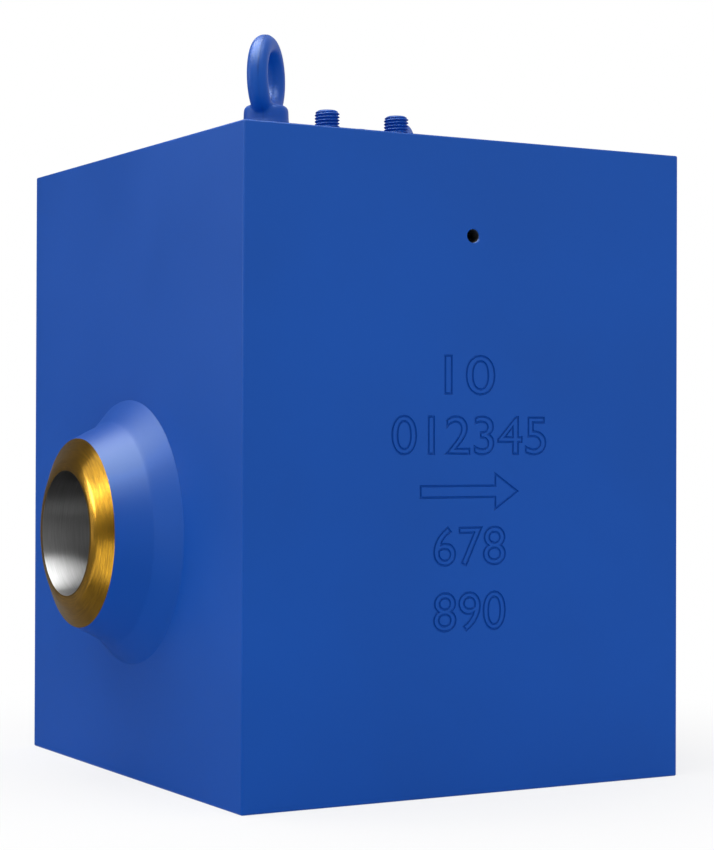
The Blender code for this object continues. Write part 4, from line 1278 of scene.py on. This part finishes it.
def softbox(name, power, size, place, target, unseen=None):
    """A rectangular lamp aimed at a point; unseen names the kind of ray that misses it."""
    light = bpy.data.lights.new(name, "AREA")
    light.shape = "RECTANGLE"
    light.size, light.size_y = size
    light.energy = power
    holder = link(name, light)
    holder.location = place
    holder.rotation_mode = "QUATERNION"
    holder.rotation_quaternion = (Vector(target) - Vector(place)).to_track_quat("-Z", "Y")
    if unseen:
        setattr(holder, f"visible_{unseen}", False)


def card(name, size, place, turn):
    """A dark card that only reflections see, as studios set beside shiny metal; the cards laid on the floor
    are painted shade of the floor in reflections.
    """
    work = bmesh.new()
    bmesh.ops.create_grid(work, x_segments=1, y_segments=1, size=0.5)
    work.transform(
        Matrix.Translation(place) @ Euler(turn).to_matrix().to_4x4() @ Matrix.Diagonal((*size, 1, 1))
    )
    obj = settled(name, work)
    dress(obj, "DarkCard")
    obj.visible_camera = obj.visible_diffuse = obj.visible_shadow = obj.visible_transmission = False


def build_camera():
    """The camera, at the photograph's own view."""
    camera = bpy.data.cameras.new("PhotoCamera")
    camera.lens = CAMERA_LENS
    camera.sensor_width = CAMERA_SENSOR
    camera.sensor_fit = "AUTO"
    camera.clip_start, camera.clip_end = 0.01, 50.0
    holder = link("PhotoCamera", camera)
    level = cos(CAMERA_PITCH)
    ahead = Vector((sin(CAMERA_YAW) * level, cos(CAMERA_YAW) * level, sin(CAMERA_PITCH)))
    right = Vector((cos(CAMERA_YAW), -sin(CAMERA_YAW), 0))
    over = right.cross(ahead)
    side = right * cos(CAMERA_ROLL) + over * sin(CAMERA_ROLL)
    above = over * cos(CAMERA_ROLL) - right * sin(CAMERA_ROLL)
    turn = Matrix((side, above, -ahead)).transposed().to_4x4()
    holder.matrix_world = Matrix.Translation(CAMERA_PLACE) @ turn
    bpy.context.scene.camera = holder


class VALVE_OT_stage(bpy.types.Operator):
    """Camera, floor, world, studio lights and cards."""

    bl_idname = "valve.stage"
    bl_label = "Build Stage"

    def execute(self, context):
        light = context.scene.valve_stage
        build_camera()
        build_world(light.world_level)
        build_floor()
        centre, hub, foot = (0, 0, 0.2), (-0.19, 0, 0.16), (-0.15, 0, 0.06)
        for lamp in (
            ("overhead", light.overhead_power, (1.2, 1.2), (-0.60, 0.1, 1.6), centre),
            ("side_fill", light.side_power, (1.0, 1.4), (0.9, -1.8, 0.8), centre),
            ("floor_bounce", light.bounce_power, (0.9, 0.1), (-0.85, -0.05, 0.04), foot, "glossy"),
            ("sheen", light.sheen_power, (1.7, 1.1), (-0.45, -0.12, 1.35), (-0.2, 0, 0.15), "diffuse"),
            ("glint", light.glint_power, (0.45, 0.30), (-1.51, 0.83, 0.52), hub, "diffuse"),
            ("glow", light.glow_power, (0.5, 0.8), (-1.60, -0.95, 0.45), (-0.15, -0.05, 0.2), "diffuse"),
        ):
            softbox(*lamp)
        tree, shader = principled(bpy.data.materials.new("DarkCard"))
        feed(tree, shader, Base_Color=(0.06, 0.06, 0.06, 1), Roughness=0.9)
        card("back_card", (3.1, 2.2), (-0.05, 1.5, 1.1), (pi / 2, 0, 0))
        card("left_card", (1.9, 0.47), (-2.0, 0.65, 0.235), (pi / 2, 0, pi / 2))
        # Painted shade: these two floor cards darken the floor near and behind the valve where reflections
        # see it, while the camera sees the floor pale.
        card("rear_floor_card", (3.1, 1.25), (-0.05, 0.875, 0.001), (0, 0, 0))
        card("near_floor_card", (0.31, 0.60), (-0.305, -0.05, 0.001), (0, 0, 0))
        context.scene.view_settings.view_transform = "Standard"
        return {"FINISHED"}


class VALVE_PT_finish(bpy.types.Panel):
    """Lists the steps that dress the valve."""

    bl_idname = "VALVE_PT_finish"
    bl_label = "Non-Return Valve"
    bl_space_type = "VIEW_3D"
    bl_region_type = "UI"
    bl_category = "Valve"

    def draw(self, context):
        layout = self.layout
        for operator in OPERATORS:
            layout.operator(operator.bl_idname)
        for name in GROUPS:
            group = getattr(context.scene, name)
            box = layout.box()
            for setting in group.__annotations__:
                box.prop(group, setting)


OPERATORS = (
    VALVE_OT_materials,
    VALVE_OT_body,
    VALVE_OT_retainer,
    VALVE_OT_cover_fasteners,
    VALVE_OT_lifting_eyes,
    VALVE_OT_swing_gear,
    VALVE_OT_cover_stack,
    VALVE_OT_stage,
)
GROUPS = {"valve_sizes": ValveSizes, "valve_colours": ValveColours, "valve_stage": ValveStage}


def register():
    for name, group in GROUPS.items():
        bpy.utils.register_class(group)
        setattr(bpy.types.Scene, name, PointerProperty(type=group))
    for part in (*OPERATORS, VALVE_PT_finish):
        bpy.utils.register_class(part)


def unregister():
    for part in (VALVE_PT_finish, *reversed(OPERATORS)):
        bpy.utils.unregister_class(part)
    for name, group in reversed(list(GROUPS.items())):
        delattr(bpy.types.Scene, name)
        bpy.utils.unregister_class(group)


def main():
    register()
    bpy.ops.valve.stage()
    bpy.ops.valve.materials()
    bpy.ops.valve.body()
    bpy.ops.valve.retainer()
    bpy.ops.valve.cover_fasteners()
    bpy.ops.valve.lifting_eyes()
    bpy.ops.valve.swing_gear()
    bpy.ops.valve.cover_stack()


if __name__ == "__main__":
    main()
